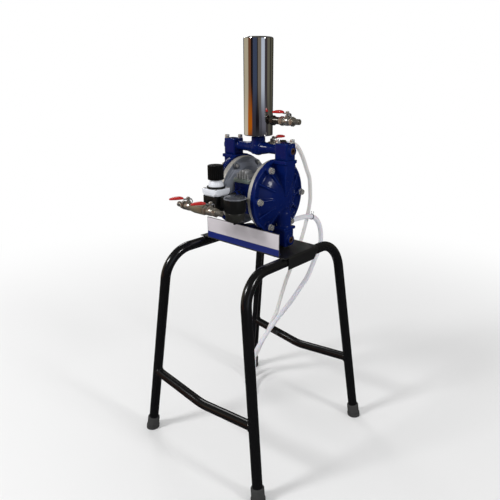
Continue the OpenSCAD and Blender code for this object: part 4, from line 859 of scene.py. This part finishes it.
# Stage, in metres
class PUMPSET_OT_stage(bpy.types.Operator):
    """Makes the camera, the lights and the floor"""
    bl_idname = "pumpset.stage"
    bl_label = "Stage"

    def execute(self, context):
        settings = context.scene.pump_stage
        context.scene.view_settings.view_transform = "Standard"
        self.camera(context)
        self.light("key", (-1.0, -2.4, 2.4), 0.7, settings.key_power)
        self.light("fill", (2.7, 0.2, 2.0), 0.5, settings.fill_power)
        self.light("back", (-2.5, 1.2, 2.4), 1.2, settings.back_power)
        self.world(context, settings)
        self.floor(settings)
        return {"FINISHED"}

    def camera(self, context):
        data = bpy.data.cameras.new("camera")
        data.lens = CAMERA_LENS
        data.shift_x, data.shift_y = CAMERA_SHIFT
        data.clip_start, data.clip_end = 0.05, 100
        camera = link(bpy.data.objects.new("camera", data))
        a, e, roll = (math.radians(x) for x in (CAMERA_AZIMUTH, CAMERA_PITCH, CAMERA_ROLL))
        back = Vector((math.sin(a) * math.cos(e), -math.cos(a) * math.cos(e), math.sin(e)))
        right = Vector((math.cos(a), math.sin(a), 0))
        level = Matrix((right, back.cross(right), back)).transposed()
        turn = level @ Matrix.Rotation(roll, 3, "Z")
        camera.matrix_world = Matrix.Translation(CAMERA_AT) @ turn.to_4x4()
        context.scene.camera = camera

    def light(self, name, place, size, power):
        data = bpy.data.lights.new(name, "AREA")
        data.shape = "DISK"
        data.size = size
        data.energy = power
        lamp = link(bpy.data.objects.new(name, data))
        aim = LAMPS_AIM_AT - Vector(place)
        lamp.matrix_world = (Matrix.Translation(place)
                             @ aim.to_track_quat("-Z", "Y").to_matrix().to_4x4())

    def seen(self, path, tree, *kinds):
        """One for the named kinds of ray."""
        mask = path.outputs[kinds[0]]
        for kind in kinds[1:]:
            mask = maths(tree, "MAXIMUM", mask, path.outputs[kind])
        return mask

    def world(self, context, settings):
        """Even white light; reflections see a studio with dark and coloured walls."""
        world = bpy.data.worlds.new("studio")
        world.use_nodes = True
        context.scene.world = world
        tree = world.node_tree
        white = (1, 1, 1, 1)
        plain = tree.nodes["Background"]
        plain.inputs["Color"].default_value = white
        plain.inputs["Strength"].default_value = settings.sky
        paper = add(tree, "ShaderNodeBackground", {"Color": white})
        walls = add(tree, "ShaderNodeBackground", {"Color": self.walls(tree)})
        path = add(tree, "ShaderNodeLightPath")
        shine = shaders_mixed(tree, path.outputs["Is Glossy Ray"], plain.outputs[0],
                              walls.outputs[0])
        direct = self.seen(path, tree, "Is Camera Ray", "Is Transmission Ray")
        tree.links.new(shaders_mixed(tree, direct, shine, paper.outputs[0]),
                       tree.nodes["World Output"].inputs["Surface"])

    def walls(self, tree):
        """Colour of the studio by bearing and height, from the photograph's standpoint."""
        x, y, z = axes(tree, "Generated")
        turn = maths(tree, "ARCTAN2", y, x)
        standpoint = math.radians(CAMERA_AZIMUTH - 90)
        part = maths(tree, "MULTIPLY_ADD", turn, 1 / (2 * math.pi),
                     0.5 - standpoint / (2 * math.pi))
        bearing = maths(tree, "FRACT", part)
        above = self.ring(tree, bearing, WALLS_ABOVE)
        below = self.ring(tree, bearing, WALLS_BELOW)
        side = mixed(tree, soft_step(tree, z, -0.15, 0.01), below, above)
        side = mixed(tree, soft_step(tree, z, -0.215, -0.155), GROUND, side)
        return mixed(tree, soft_step(tree, z, 0.22, 0.42), side, CEILING)

    def ring(self, tree, bearing, colours):
        """The colours of the walls round the part at one height."""
        ramp = add(tree, "ShaderNodeValToRGB", {0: bearing})
        stops = ramp.color_ramp.elements
        soft = 1.6 / 360
        stops.remove(stops[1])
        stops[0].position = 0.5 + colours[0][0] / 360
        stops[0].color = (*colours[0][2], 1)
        for start, end, colour in colours:
            for place in (0.5 + start / 360 + soft, 0.5 + end / 360 - soft):
                stops.new(place).color = (*colour, 1)
        return ramp.outputs["Color"]

    def floor(self, settings):
        """A pale floor that fades to white further out; reflections don't see it."""
        edit = bmesh.new()
        bmesh.ops.create_grid(edit, x_segments=1, y_segments=1, size=40)
        floor = object_from(edit, "floor")
        material = bpy.data.materials.new("pale_floor")
        material.use_nodes = True
        tree = material.node_tree
        shader = tree.nodes["Principled BSDF"]
        shader.inputs["Base Color"].default_value = (*settings.floor_colour, 1)
        shader.inputs["Roughness"].default_value = 0.8
        glow = add(tree, "ShaderNodeEmission")
        coords = add(tree, "ShaderNodeTexCoord").outputs["Object"]
        length = add(tree, "ShaderNodeVectorMath", {0: coords}, operation="LENGTH")
        far = soft_step(tree, length.outputs["Value"], 0.5, 2.2)
        path = add(tree, "ShaderNodeLightPath")
        direct = self.seen(path, tree, "Is Camera Ray", "Is Glossy Ray", "Is Transmission Ray")
        mix = shaders_mixed(tree, maths(tree, "MULTIPLY", direct, far), shader.outputs[0],
                            glow.outputs[0])
        tree.links.new(mix, tree.nodes["Material Output"].inputs["Surface"])
        floor.data.materials.append(material)
        floor.visible_glossy = False


def smooth_route(route, steps=8):
    """The smooth line through the route's points."""
    points = [Vector(p) * MM for p in route]
    line = []
    last = len(points) - 1
    for i in range(last):
        a, b = points[max(i - 1, 0)], points[i]
        c, d = points[i + 1], points[min(i + 2, last)]
        for k in range(steps):
            u = k / steps
            line.append(0.5 * (2 * b + (c - a) * u + (2 * a - 5 * b + 4 * c - d) * u * u
                               + (3 * b - a - 3 * c + d) * u * u * u))
    return line + [points[-1]]


class PUMPSET_OT_hoses(bpy.types.Operator):
    """Makes the two hoses and the spring clip"""
    bl_idname = "pumpset.hoses"
    bl_label = "Hoses"

    def execute(self, context):
        sizes = context.scene.pump_hoses
        clip = self.clip(sizes.suction_d)
        self.hose("suction_hose", SUCTION_ROUTE, sizes.suction_d, "milky_hose", [clip])
        self.hose("return_hose", RETURN_ROUTE, sizes.return_d, "cream_hose", [])
        return {"FINISHED"}

    def hose(self, node, route, diameter, look, on_it):
        """A tube with a flare where it is pushed on the barb, open a little at its cut end."""
        lying = diameter / 2 + FLOOR_GAP
        line = [Vector((p.x, p.y, max(p.z, lying))) for p in smooth_route(route)]
        edit = bmesh.new()
        rings, run = [], 0.0
        side = Vector((1, 0, 0))
        for i, point in enumerate(line):
            ahead = (line[min(i + 1, len(line) - 1)] - line[max(i - 1, 0)]).normalized()
            side = (side - ahead * side.dot(ahead)).normalized()
            up = ahead.cross(side)
            run += (point - line[i - 1]).length if i else 0.0
            flare = 0.10 * max(0.0, 1 - abs(run - 0.010) / 0.012)
            radius = diameter / 2 * (1 + flare)
            rings.append([edit.verts.new(point + radius * (math.cos(a) * side
                                                           + math.sin(a) * up))
                          for a in round_angles(20)])
        end, bore = line[-1], 1 - 2 * HOSE_WALL
        rings += [[edit.verts.new(end + (outer.co - end) * bore - ahead * depth)
                   for outer in rings[-1]] for depth in (0.0, 0.02)]
        piece = smooth_by_angle(object_from(skin(edit, rings), node + "_made"), 50)
        dress(node, piece, look)

    def clip(self, hose_d):
        """A spring clip of wire with two ears, pushed back along the hose."""
        wire = 0.8 * MM
        ring = hose_d / 2 + wire + 0.3 * MM
        steps = 32
        turn = (Matrix.Translation(CLIP_AT)
                @ Matrix.Rotation(math.radians(-CLIP_TILT), 4, "X"))
        loops = []
        for way in (-1, 1):
            shift, gap = way * 1.2 * MM, math.radians(24)
            points = []
            for k in range(steps + 1):
                angle = math.pi / 2 + way * (gap + (2 * math.pi - gap * 1.2) * k / steps)
                points.append(Vector((ring * math.cos(angle), shift * (1 - k / steps),
                                      ring * math.sin(angle))))
            ear = points[0]
            out = Vector((ear.x, 0, ear.z)).normalized()
            points.insert(0, ear + out * 7 * MM + Vector((0, shift, 0)))
            points.insert(0, points[0] + Vector((0, shift * 2, 1.5 * MM)))
            loops.append([turn @ p for p in points])
        clip = run_tree(path_object(loops, False, "clip_path"), bead_on_path, "clip_made",
                        Radius=wire, Ripple=0.0, Material=finish("dull_zinc"))
        return dress("hose_clip", clip, "dull_zinc")


# Stand
class PUMPSET_OT_stand(bpy.types.Operator):
    """Finishes the stand, the platform and the sign plate"""
    bl_idname = "pumpset.stand"
    bl_label = "Stand"

    def execute(self, context):
        paint("gloss_black_coat", "hoop_left", "hoop_right", "stretchers")
        paint("foot_rubber", "rubber_feet")
        paint("satin_black_coat", "platform")
        dress("sign_plate", softened("sign_plate", 0.4), "sign_plate_finish")
        paint("membrane_rubber", "pump_mounts")
        self.welds(context.scene.pump_stand.weld_radius)
        return {"FINISHED"}

    def welds(self, radius):
        """Weld beads where the stretchers meet the legs, in metres."""
        loops = []
        for sx, sy in ((-1, -1), (-1, 1), (1, -1), (1, 1)):
            sides = Vector((sx, sy, 1))
            foot, top = LEG_FOOT * sides, LEG_TOP * sides
            meet = foot + (top - foot) * RAIL_END_Z / LEG_TOP.z
            toward = Vector((-sx, 0, -RAIL_SLOPE)).normalized()
            along = (top - foot).normalized()
            along = (along - toward * along.dot(toward)).normalized()
            across = toward.cross(along)
            points = []
            for angle in round_angles(28):
                off = RAIL_R * math.sin(angle)
                reach = math.sqrt(LEG_R ** 2 - off ** 2)
                points.append(meet + toward * reach + along * RAIL_R * math.cos(angle)
                              + across * off)
            loops.append(points)
        coat = finish("gloss_black_coat")
        beads = run_tree(path_object(loops, True, "weld_path"), bead_on_path, "weld_beads",
                         Radius=radius, Ripple=1.6 * MM, Material=coat)
        finish_piece(beads, "weld_beads", coat, "root")


# Pump
class PUMPSET_OT_pump(bpy.types.Operator):
    """Finishes the pump's castings and inner parts"""
    bl_idname = "pumpset.pump"
    bl_label = "Pump"

    def execute(self, context):
        cell = context.scene.pump_finish.grain
        for node in ("fluid_cover_left", "fluid_cover_right", "upper_manifold",
                     "lower_manifold"):
            dress(node, cast_copy(node, cell), "cobalt_gloss_paint")
        dress("air_valve_body", cast_copy("air_valve_body", 1.0 * MM), "cobalt_gloss_paint")
        for node in ("air_chamber_left", "air_chamber_right", "centre_body"):
            dress(node, cast_copy(node, cell, 3), "blasted_casting")
        self.finned_cap()
        paint("ground_steel", "shaft", "air_valve_spool", "valve_seats")
        paint("bright_zinc", "clamp_discs")
        paint("membrane_rubber", "diaphragm_left", "diaphragm_right")
        paint("check_ball", "suction_ball_left", "suction_ball_right",
              "discharge_ball_left", "discharge_ball_right")
        dress("port_plugs", softened("port_plugs", 0.3), "plug_steel")
        return {"FINISHED"}

    def finned_cap(self):
        """The air valve's cap: a plate with thin cast fins, the middle ones tallest."""
        low, high = measured("air_valve_cap")
        half_x, half_y = (high.x - low.x) / 2, (high.y - low.y) / 2
        top = low.z + 8
        edit = stacked([(z, half_x, half_y, 4) for z in (low.z, top)], soft_rectangle)
        foot, tip, reach, gap = 1.5, 1.0, half_y - 5, 8.6
        for off in range(-2, 3):
            rise = (high.z - top) * (1, 0.94, 0.62)[abs(off)]
            fin = stacked([(top - 0.5, foot, reach), (top + rise * 0.86, tip, reach),
                           (top + rise, tip * 0.7, reach * 0.8)], rectangle)
            join_into(edit, fin, at(off * gap, 0))
        edit.transform(at(low.x + half_x, low.y + half_y))
        dress("air_valve_cap", rounded_edges(edit, "cap_made", 0.5), "green_grey_casting")


class PUMPSET_OT_fasteners(bpy.types.Operator):
    """Makes the bolts and nuts of the covers and manifolds"""
    bl_idname = "pumpset.fasteners"
    bl_label = "Fasteners"

    def execute(self, context):
        looks = context.scene.pump_finish
        low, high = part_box("cover_bolts")
        centre = (low + high) / 2
        nut_end = measured("cover_nuts")[1].x
        for node, edit, look in (
                ("cover_bolts", self.cover_bolt((high.x - centre.x) / MM), "bright_zinc"),
                ("cover_nuts", hex_prism(12.8, nut_end - 6.5, nut_end, 0.9), "dull_zinc")):
            made = run_tree(object_from(edit, node[:-1]), ring_of_fasteners, node + "_made",
                            Count=looks.cover_bolts, Circle=looks.bolt_circle,
                            Centre=centre, Material=finish(look))
            dress(node, smooth_by_angle(made, 30), look)
        self.manifold_bolts(centre)
        dress("machine_screws", softened("machine_screws", 0.2), "bright_zinc")
        return {"FINISHED"}

    def cover_bolt(self, tip):
        """A hexagon bolt with a washer, lying along X, its head outwards."""
        seat = tip - 7.6
        edit = hex_prism(12.8, seat + 1.6, tip, 0.9)
        join_into(edit, washer(4, 7.9, 0.4, seat, 1.6, 36))
        join_into(edit, thread(33, 44, 4, 0.5, 1.25))
        join_into(edit, shank(43, seat + 1, 3.6))
        return edit

    def manifold_bolts(self, centre):
        """Bolts through the manifold blocks: heads on top above, sunk heads below.

        The centre is in metres."""
        low, high = measured("manifold_bolts")
        top, bottom = (z - centre.z / MM for z in (high.z, low.z))
        edit = hex_prism(10, top - 7.3, top, 0.8)
        join_into(edit, washer(3, 5.8, 0.3, top - 8.5, 1.2, 32))
        join_into(edit, shank(78, top - 7, 3))
        join_into(edit, lathe([(0, 3), (2.4, 3), (2.6, 0), (4.5, 0), (4.9, 0.4), (4.9, 6),
                               (0, 6)], 32, "X", bottom))
        join_into(edit, shank(bottom + 5.5, -66, 3))
        edit.transform(Matrix.Rotation(-math.pi / 2, 4, "Y"))
        made = run_tree(object_from(edit, "manifold_bolt"), fasteners_on_blocks,
                        "manifold_bolts_made", Along=84 * MM, Across=0.0,
                        Corner_X=12.5 * MM, Corner_Y=11 * MM, Centre=centre,
                        Material=finish("bright_zinc"))
        dress("manifold_bolts", smooth_by_angle(made, 30), "bright_zinc")


# Tank
class PUMPSET_OT_tank(bpy.types.Operator):
    """Finishes the tank and the pipe nipples"""
    bl_idname = "pumpset.tank"
    bl_label = "Tank and nipples"

    def execute(self, context):
        dress("tank_shell", self.shell(), "mirror_polish")
        edge = context.scene.pump_fittings.edge / MM
        dress("pipe_nipples", softened("pipe_nipples", edge), "dark_nickel")
        dress("air_tee", softened("air_tee", 2 * edge), "pale_brass")
        return {"FINISHED"}

    def shell(self):
        """The tank as a smooth turned shell, a little longer than its solid as photographed."""
        low, high = measured("tank_shell")
        foot, top = low.z - 4.4, high.z + 5.0
        radius, foot_round, top_round = (high.y - low.y) / 2, 2.2, 4.2
        profile = [(0, foot)]
        for centre, size, first in ((foot + foot_round, foot_round, -90),
                                    (top - top_round, top_round, 0)):
            for step in range(9):
                angle = math.radians(first + 90 * step / 8)
                profile.append((radius - size + size * math.cos(angle),
                                centre + size * math.sin(angle)))
        edit = lathe(profile + [(0, top)], sides=128)
        edit.transform(at(0, (low.y + high.y) / 2))
        return smooth_by_angle(object_from(edit, "tank_shell_skin"), 40)


# Ball valves
def stem_place(name):
    """The middle of a valve's ball, in metres."""
    low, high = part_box("stem_" + name)
    centre = (low + high) / 2
    return Vector((centre.x, centre.y, low.z + BALL_UP * MM))


def valve_frame(name):
    """The valve's own frame: its inlet face at the origin, its flow along X."""
    return (Matrix.Translation(stem_place(name))
            @ Matrix.Rotation(math.radians(VALVES[name][0]), 4, "Z") @ at(-BALL_AT, 0))


def lever_frame(name):
    """The lever's own frame: the stem's axis at the origin, the lever along X."""
    return (Matrix.Translation(stem_place(name))
            @ Matrix.Rotation(math.radians(VALVES[name][1]), 4, "Z"))


class PUMPSET_OT_valves(bpy.types.Operator):
    """Makes the ball valves with their levers and sleeves"""
    bl_idname = "pumpset.valves"
    bl_label = "Ball valves"

    def execute(self, context):
        pitch = context.scene.pump_fittings.thread_pitch / MM
        bodies = bmesh.new()
        for name in VALVES:
            join_into(bodies, self.body(pitch), valve_frame(name))
        made = object_from(bodies, "valve_bodies_made")
        dress("valve_bodies", smooth_by_angle(made, 30), "nickel_plate")
        for name in VALVES:
            dress("stem_" + name, softened("stem_" + name, 0.25), "nickel_plate")
            self.lever(name)
            self.sleeve(name)
        return {"FINISHED"}

    def body(self, pitch):
        """The forged body: hexagon ends, a turned barrel, a stem boss and a male thread."""
        edit = hex_prism(19, 0, 10, 1.2)
        join_into(edit, hex_prism(19, 31, VALVE_L, 1.2))
        join_into(edit, lathe([
            (0, 9.5), (8.6, 9.5), (8.9, 12), (9.9, 14), (10.2, 17), (10.2, 23), (9.8, 26),
            (8.4, 28), (8.0, 31.5), (0, 31.5)], 40, "X"))
        join_into(edit, lathe([
            (0, 6), (6.4, 6), (6.2, 10), (5.6, 10.6), (5.6, 12.6), (5.2, 13), (3.1, 13),
            (3.1, 12), (0, 12)], 32), at(BALL_AT, 0))
        end = VALVE_L + STUB_L
        join_into(edit, thread(VALVE_L - 1, end, STUB_R + 0.15, 0.6, pitch, 36))
        join_into(edit, lathe([
            (STUB_R - 0.7, -0.2), (STUB_R - 0.7, 0), (4.4, 0), (4.2, -6), (0, -6)],
            36, "X", end))
        return edit

    def lever(self, name):
        """A pressed strap with a bent stop tab behind the stem and a narrow neck."""
        path = [(-9.2, 9.5, 2.6), (-9.2, 13.5, 3.0), (-8.2, 16.2, 3.6), (-5.5, 17, 4.4),
                (0, 17, 4.9), (6, 17, 4.3), (10.5, 17.2, 3.2), (14.5, 19.6, 2.8),
                (17, 20, 2.8), (41, 19.6, 2.4)]
        points = [Vector((x, 0, z)) * MM for x, z, _ in path]
        edit = bmesh.new()
        rings = []
        for i, (point, (_, _, half)) in enumerate(zip(points, path)):
            ahead = points[min(i + 1, len(points) - 1)] - points[max(i - 1, 0)]
            up = Vector((-ahead.z, 0, ahead.x)).normalized() * MM
            rings.append([edit.verts.new(point + up * a + Vector((0, half * b * MM, 0)))
                          for a, b in ((1, 1), (1, -1), (-1, -1), (-1, 1))])
        skin(edit, rings).transform(lever_frame(name))
        dress("lever_" + name, rounded_edges(edit, "lever_made", 0.35, 40), "pressed_steel")

    def sleeve(self, name):
        """A dipped vinyl sleeve shaped like a leaf: narrow neck, broad middle, low tip."""
        shape = [(10.5, 2.9, 1.9, 18.7), (12, 3.7, 2.3, 19.2), (14.5, 5.2, 3.0, 20),
                 (18, 6.5, 3.7, 20.3), (23, 7.0, 4.0, 20.4), (29, 6.9, 3.9, 20.2),
                 (34, 6.3, 3.6, 19.9), (38.5, 5.0, 3.1, 19.4), (42, 3.7, 2.5, 18.9),
                 (44.2, 2.4, 1.8, 18.6), (45, 1.2, 1.0, 18.5)]
        edit = bmesh.new()
        rings = []
        for x, half_w, half_t, level in shape:
            ring = []
            for angle in round_angles(20):
                c, s = math.cos(angle), math.sin(angle)
                ring.append(edit.verts.new(Vector((
                    x, half_w * math.copysign(abs(c) ** 0.8, c),
                    level + half_t * math.copysign(abs(s) ** 0.85, s))) * MM))
            rings.append(ring)
        skin(edit, rings).transform(lever_frame(name))
        piece = object_from(edit, "sleeve_made")
        rounding = piece.modifiers.new("round", "SUBSURF")
        rounding.levels = rounding.render_levels = 1
        dress("sleeve_" + name, smooth_by_angle(evaluated(piece), 60), "red_vinyl")


# Air filter and regulator
class PUMPSET_OT_air_set(bpy.types.Operator):
    """Finishes the air filter and the regulator"""
    bl_idname = "pumpset.air_set"
    bl_label = "Air filter and regulator"

    def execute(self, context):
        for node, width, look in (
                ("regulator_body", 0.8, "moulded_black"), ("adjusting_screw", 0.3, "bright_zinc"),
                ("regulator_knob", 0.35, "knob_black")):
            dress(node, softened(node, width), look)
        self.bonnet()
        self.filter()
        return {"FINISHED"}

    def bonnet(self):
        """The regulator's bonnet with cut lower corners, its ring nut and its dome."""
        low, high = measured("regulator_bonnet")
        nut_low, nut_high = measured("panel_nut")
        here = at((low.x + high.x) / 2, (low.y + high.y) / 2)
        half, top = (high.x - low.x) / 2, nut_low.z
        edit = stacked([(low.z, half - 2, 8.5), (low.z + 3.6, half, 6.5),
                        (low.z + 8.5, half, 3), (top - 0.9, half, 3),
                        (top, half - 0.9, 3)], cut_square)
        rise = high.z - nut_high.z
        dome = [(0, top - 2), (18.2, top - 2)]
        dome += [(radius, nut_high.z + share * rise) for radius, share in (
            (18.4, 0), (18.0, 0.16), (16.9, 0.42), (15.0, 0.72), (13.6, 0.94), (12.6, 1),
            (0, 1))]
        join_into(edit, lathe(dome, 56))
        edit.transform(here)
        dress("regulator_bonnet", rounded_edges(edit, "bonnet_made", 0.6), "moulded_white")
        ring = lathe([(18.8, nut_low.z + 0.1), (21.8, nut_low.z + 0.1), (22.2, nut_low.z + 0.8),
                      (22.2, nut_high.z - 1.6), (21.2, nut_high.z - 0.2),
                      (18.8, nut_high.z)], 56)
        ring.transform(here)
        dress("panel_nut", smooth_by_angle(object_from(ring, "ring_made"), 40), "moulded_black")

    def filter(self):
        """The air filter: octagonal lid, body with its arm and ear, bowl guard, drain cock."""
        low, high = measured("filter_lid")
        x, y, top = (low.x + high.x) / 2, (low.y + high.y) / 2, low.z
        joint = top - 31
        lid = stacked([(top, 28.4), (top + 1.6, 28.4), (high.z - 0.4, 24.6), (high.z, 24)],
                      octagon)
        body = lathe([(0, 0), (24.6, 0), (25.6, 1), (26, 8), (26.4, 30), (25.6, 31), (0, 31)],
                     64, base=joint)
        arm_x = measured("filter_body")[0].x
        arm = (arm_x + 6.5, y - 12, top - 24), (x - 12, y + 25, top - 0.6)
        ear = (arm_x, y + 25, top - 24), (arm_x + 19, y + 34, top + 1.5)
        body.transform(at(x, y))
        for corner, other in (arm, ear):
            half_x, half_y, half_z = ((b - a) / 2 for a, b in zip(corner, other))
            block = stacked([(z, half_x, half_y, 2) for z in (-half_z, half_z)],
                            soft_rectangle)
            join_into(body, block, at(*((a + b) / 2 for a, b in zip(corner, other))))
        floor = measured("filter_bowl")[0].z
        rest = joint - floor
        bowl = lathe([(0, 0), (19.5, 0), (22, 2.5), (22.8, 7), (23.4, rest - 2.5),
                      (22.6, rest - 1.6), (22.6, rest + 3), (0, rest + 3)], 56, base=floor)
        cock = lathe([(0, -4), (7, -4), (7.6, -3.4), (7.6, -0.6), (6.6, -0.3), (0, -0.3)],
                     36, base=floor)
        join_into(cock, stacked([(floor - 9, 1.6, 5.5, 1.2), (floor - 3.8, 2, 6.6, 1.4)],
                                soft_rectangle))
        for edit in (lid, bowl, cock):
            edit.transform(at(x, y))
        for node, edit, width, look in (
                ("filter_lid", lid, 0.5, "smoke_grey_moulding"),
                ("filter_body", body, 0.7, "moulded_black"),
                ("filter_bowl", bowl, 0.5, "bowl_olive"),
                ("drain_cock", cock, 0.4, "moulded_black")):
            dress(node, rounded_edges(edit, node + "_made", width), look)
        self.inlet_collar(top - 3)

    def inlet_collar(self, height):
        """The collar where the filter's outlet meets the air valve's inlet boss."""
        edit = lathe([(7, -16), (9.4, -16), (9.8, -15), (9.8, -11), (8.6, -9.6), (8.6, -3),
                      (9.6, -1.6), (9.6, -0.2), (7, -0.2)], 40, "X")
        edit.transform(at(0, measured("air_valve_body")[0].y, height)
                       @ Matrix.Rotation(math.pi / 2, 4, "Z"))
        made = smooth_by_angle(object_from(edit, "inlet_collar"), 40)
        finish_piece(made, "inlet_collar", finish("cobalt_gloss_paint"), "root")


class PUMPSET_PT_panel(bpy.types.Panel):
    """Lists the steps that build the looks"""
    bl_label = "Pump set"
    bl_idname = "PUMPSET_PT_panel"
    bl_space_type = "VIEW_3D"
    bl_region_type = "UI"
    bl_category = "Pump set"

    def draw(self, context):
        for step in STEPS:
            self.layout.operator(step.bl_idname)
        for group in SETTINGS:
            box = self.layout.box()
            settings = getattr(context.scene, group)
            for name in settings.bl_rna.properties.keys():
                if name not in ("rna_type", "name"):
                    box.prop(settings, name)


SETTINGS = {"pump_stand": StandLooks, "pump_finish": PumpLooks, "pump_fittings": FittingLooks,
            "pump_hoses": HoseLooks, "pump_stage": StageLooks}
STEPS = [PUMPSET_OT_stage, PUMPSET_OT_hoses, PUMPSET_OT_stand, PUMPSET_OT_pump,
         PUMPSET_OT_fasteners, PUMPSET_OT_tank, PUMPSET_OT_valves, PUMPSET_OT_air_set]


def register():
    for cls in [*SETTINGS.values(), *STEPS, PUMPSET_PT_panel]:
        bpy.utils.register_class(cls)
    for name, cls in SETTINGS.items():
        setattr(bpy.types.Scene, name, PointerProperty(type=cls))


def unregister():
    for name in SETTINGS:
        delattr(bpy.types.Scene, name)
    for cls in reversed([*SETTINGS.values(), *STEPS, PUMPSET_PT_panel]):
        bpy.utils.unregister_class(cls)


def main():
    register()
    for step in STEPS:
        group, name = step.bl_idname.split(".")
        getattr(getattr(bpy.ops, group), name)()


if __name__ == "__main__":
    main()
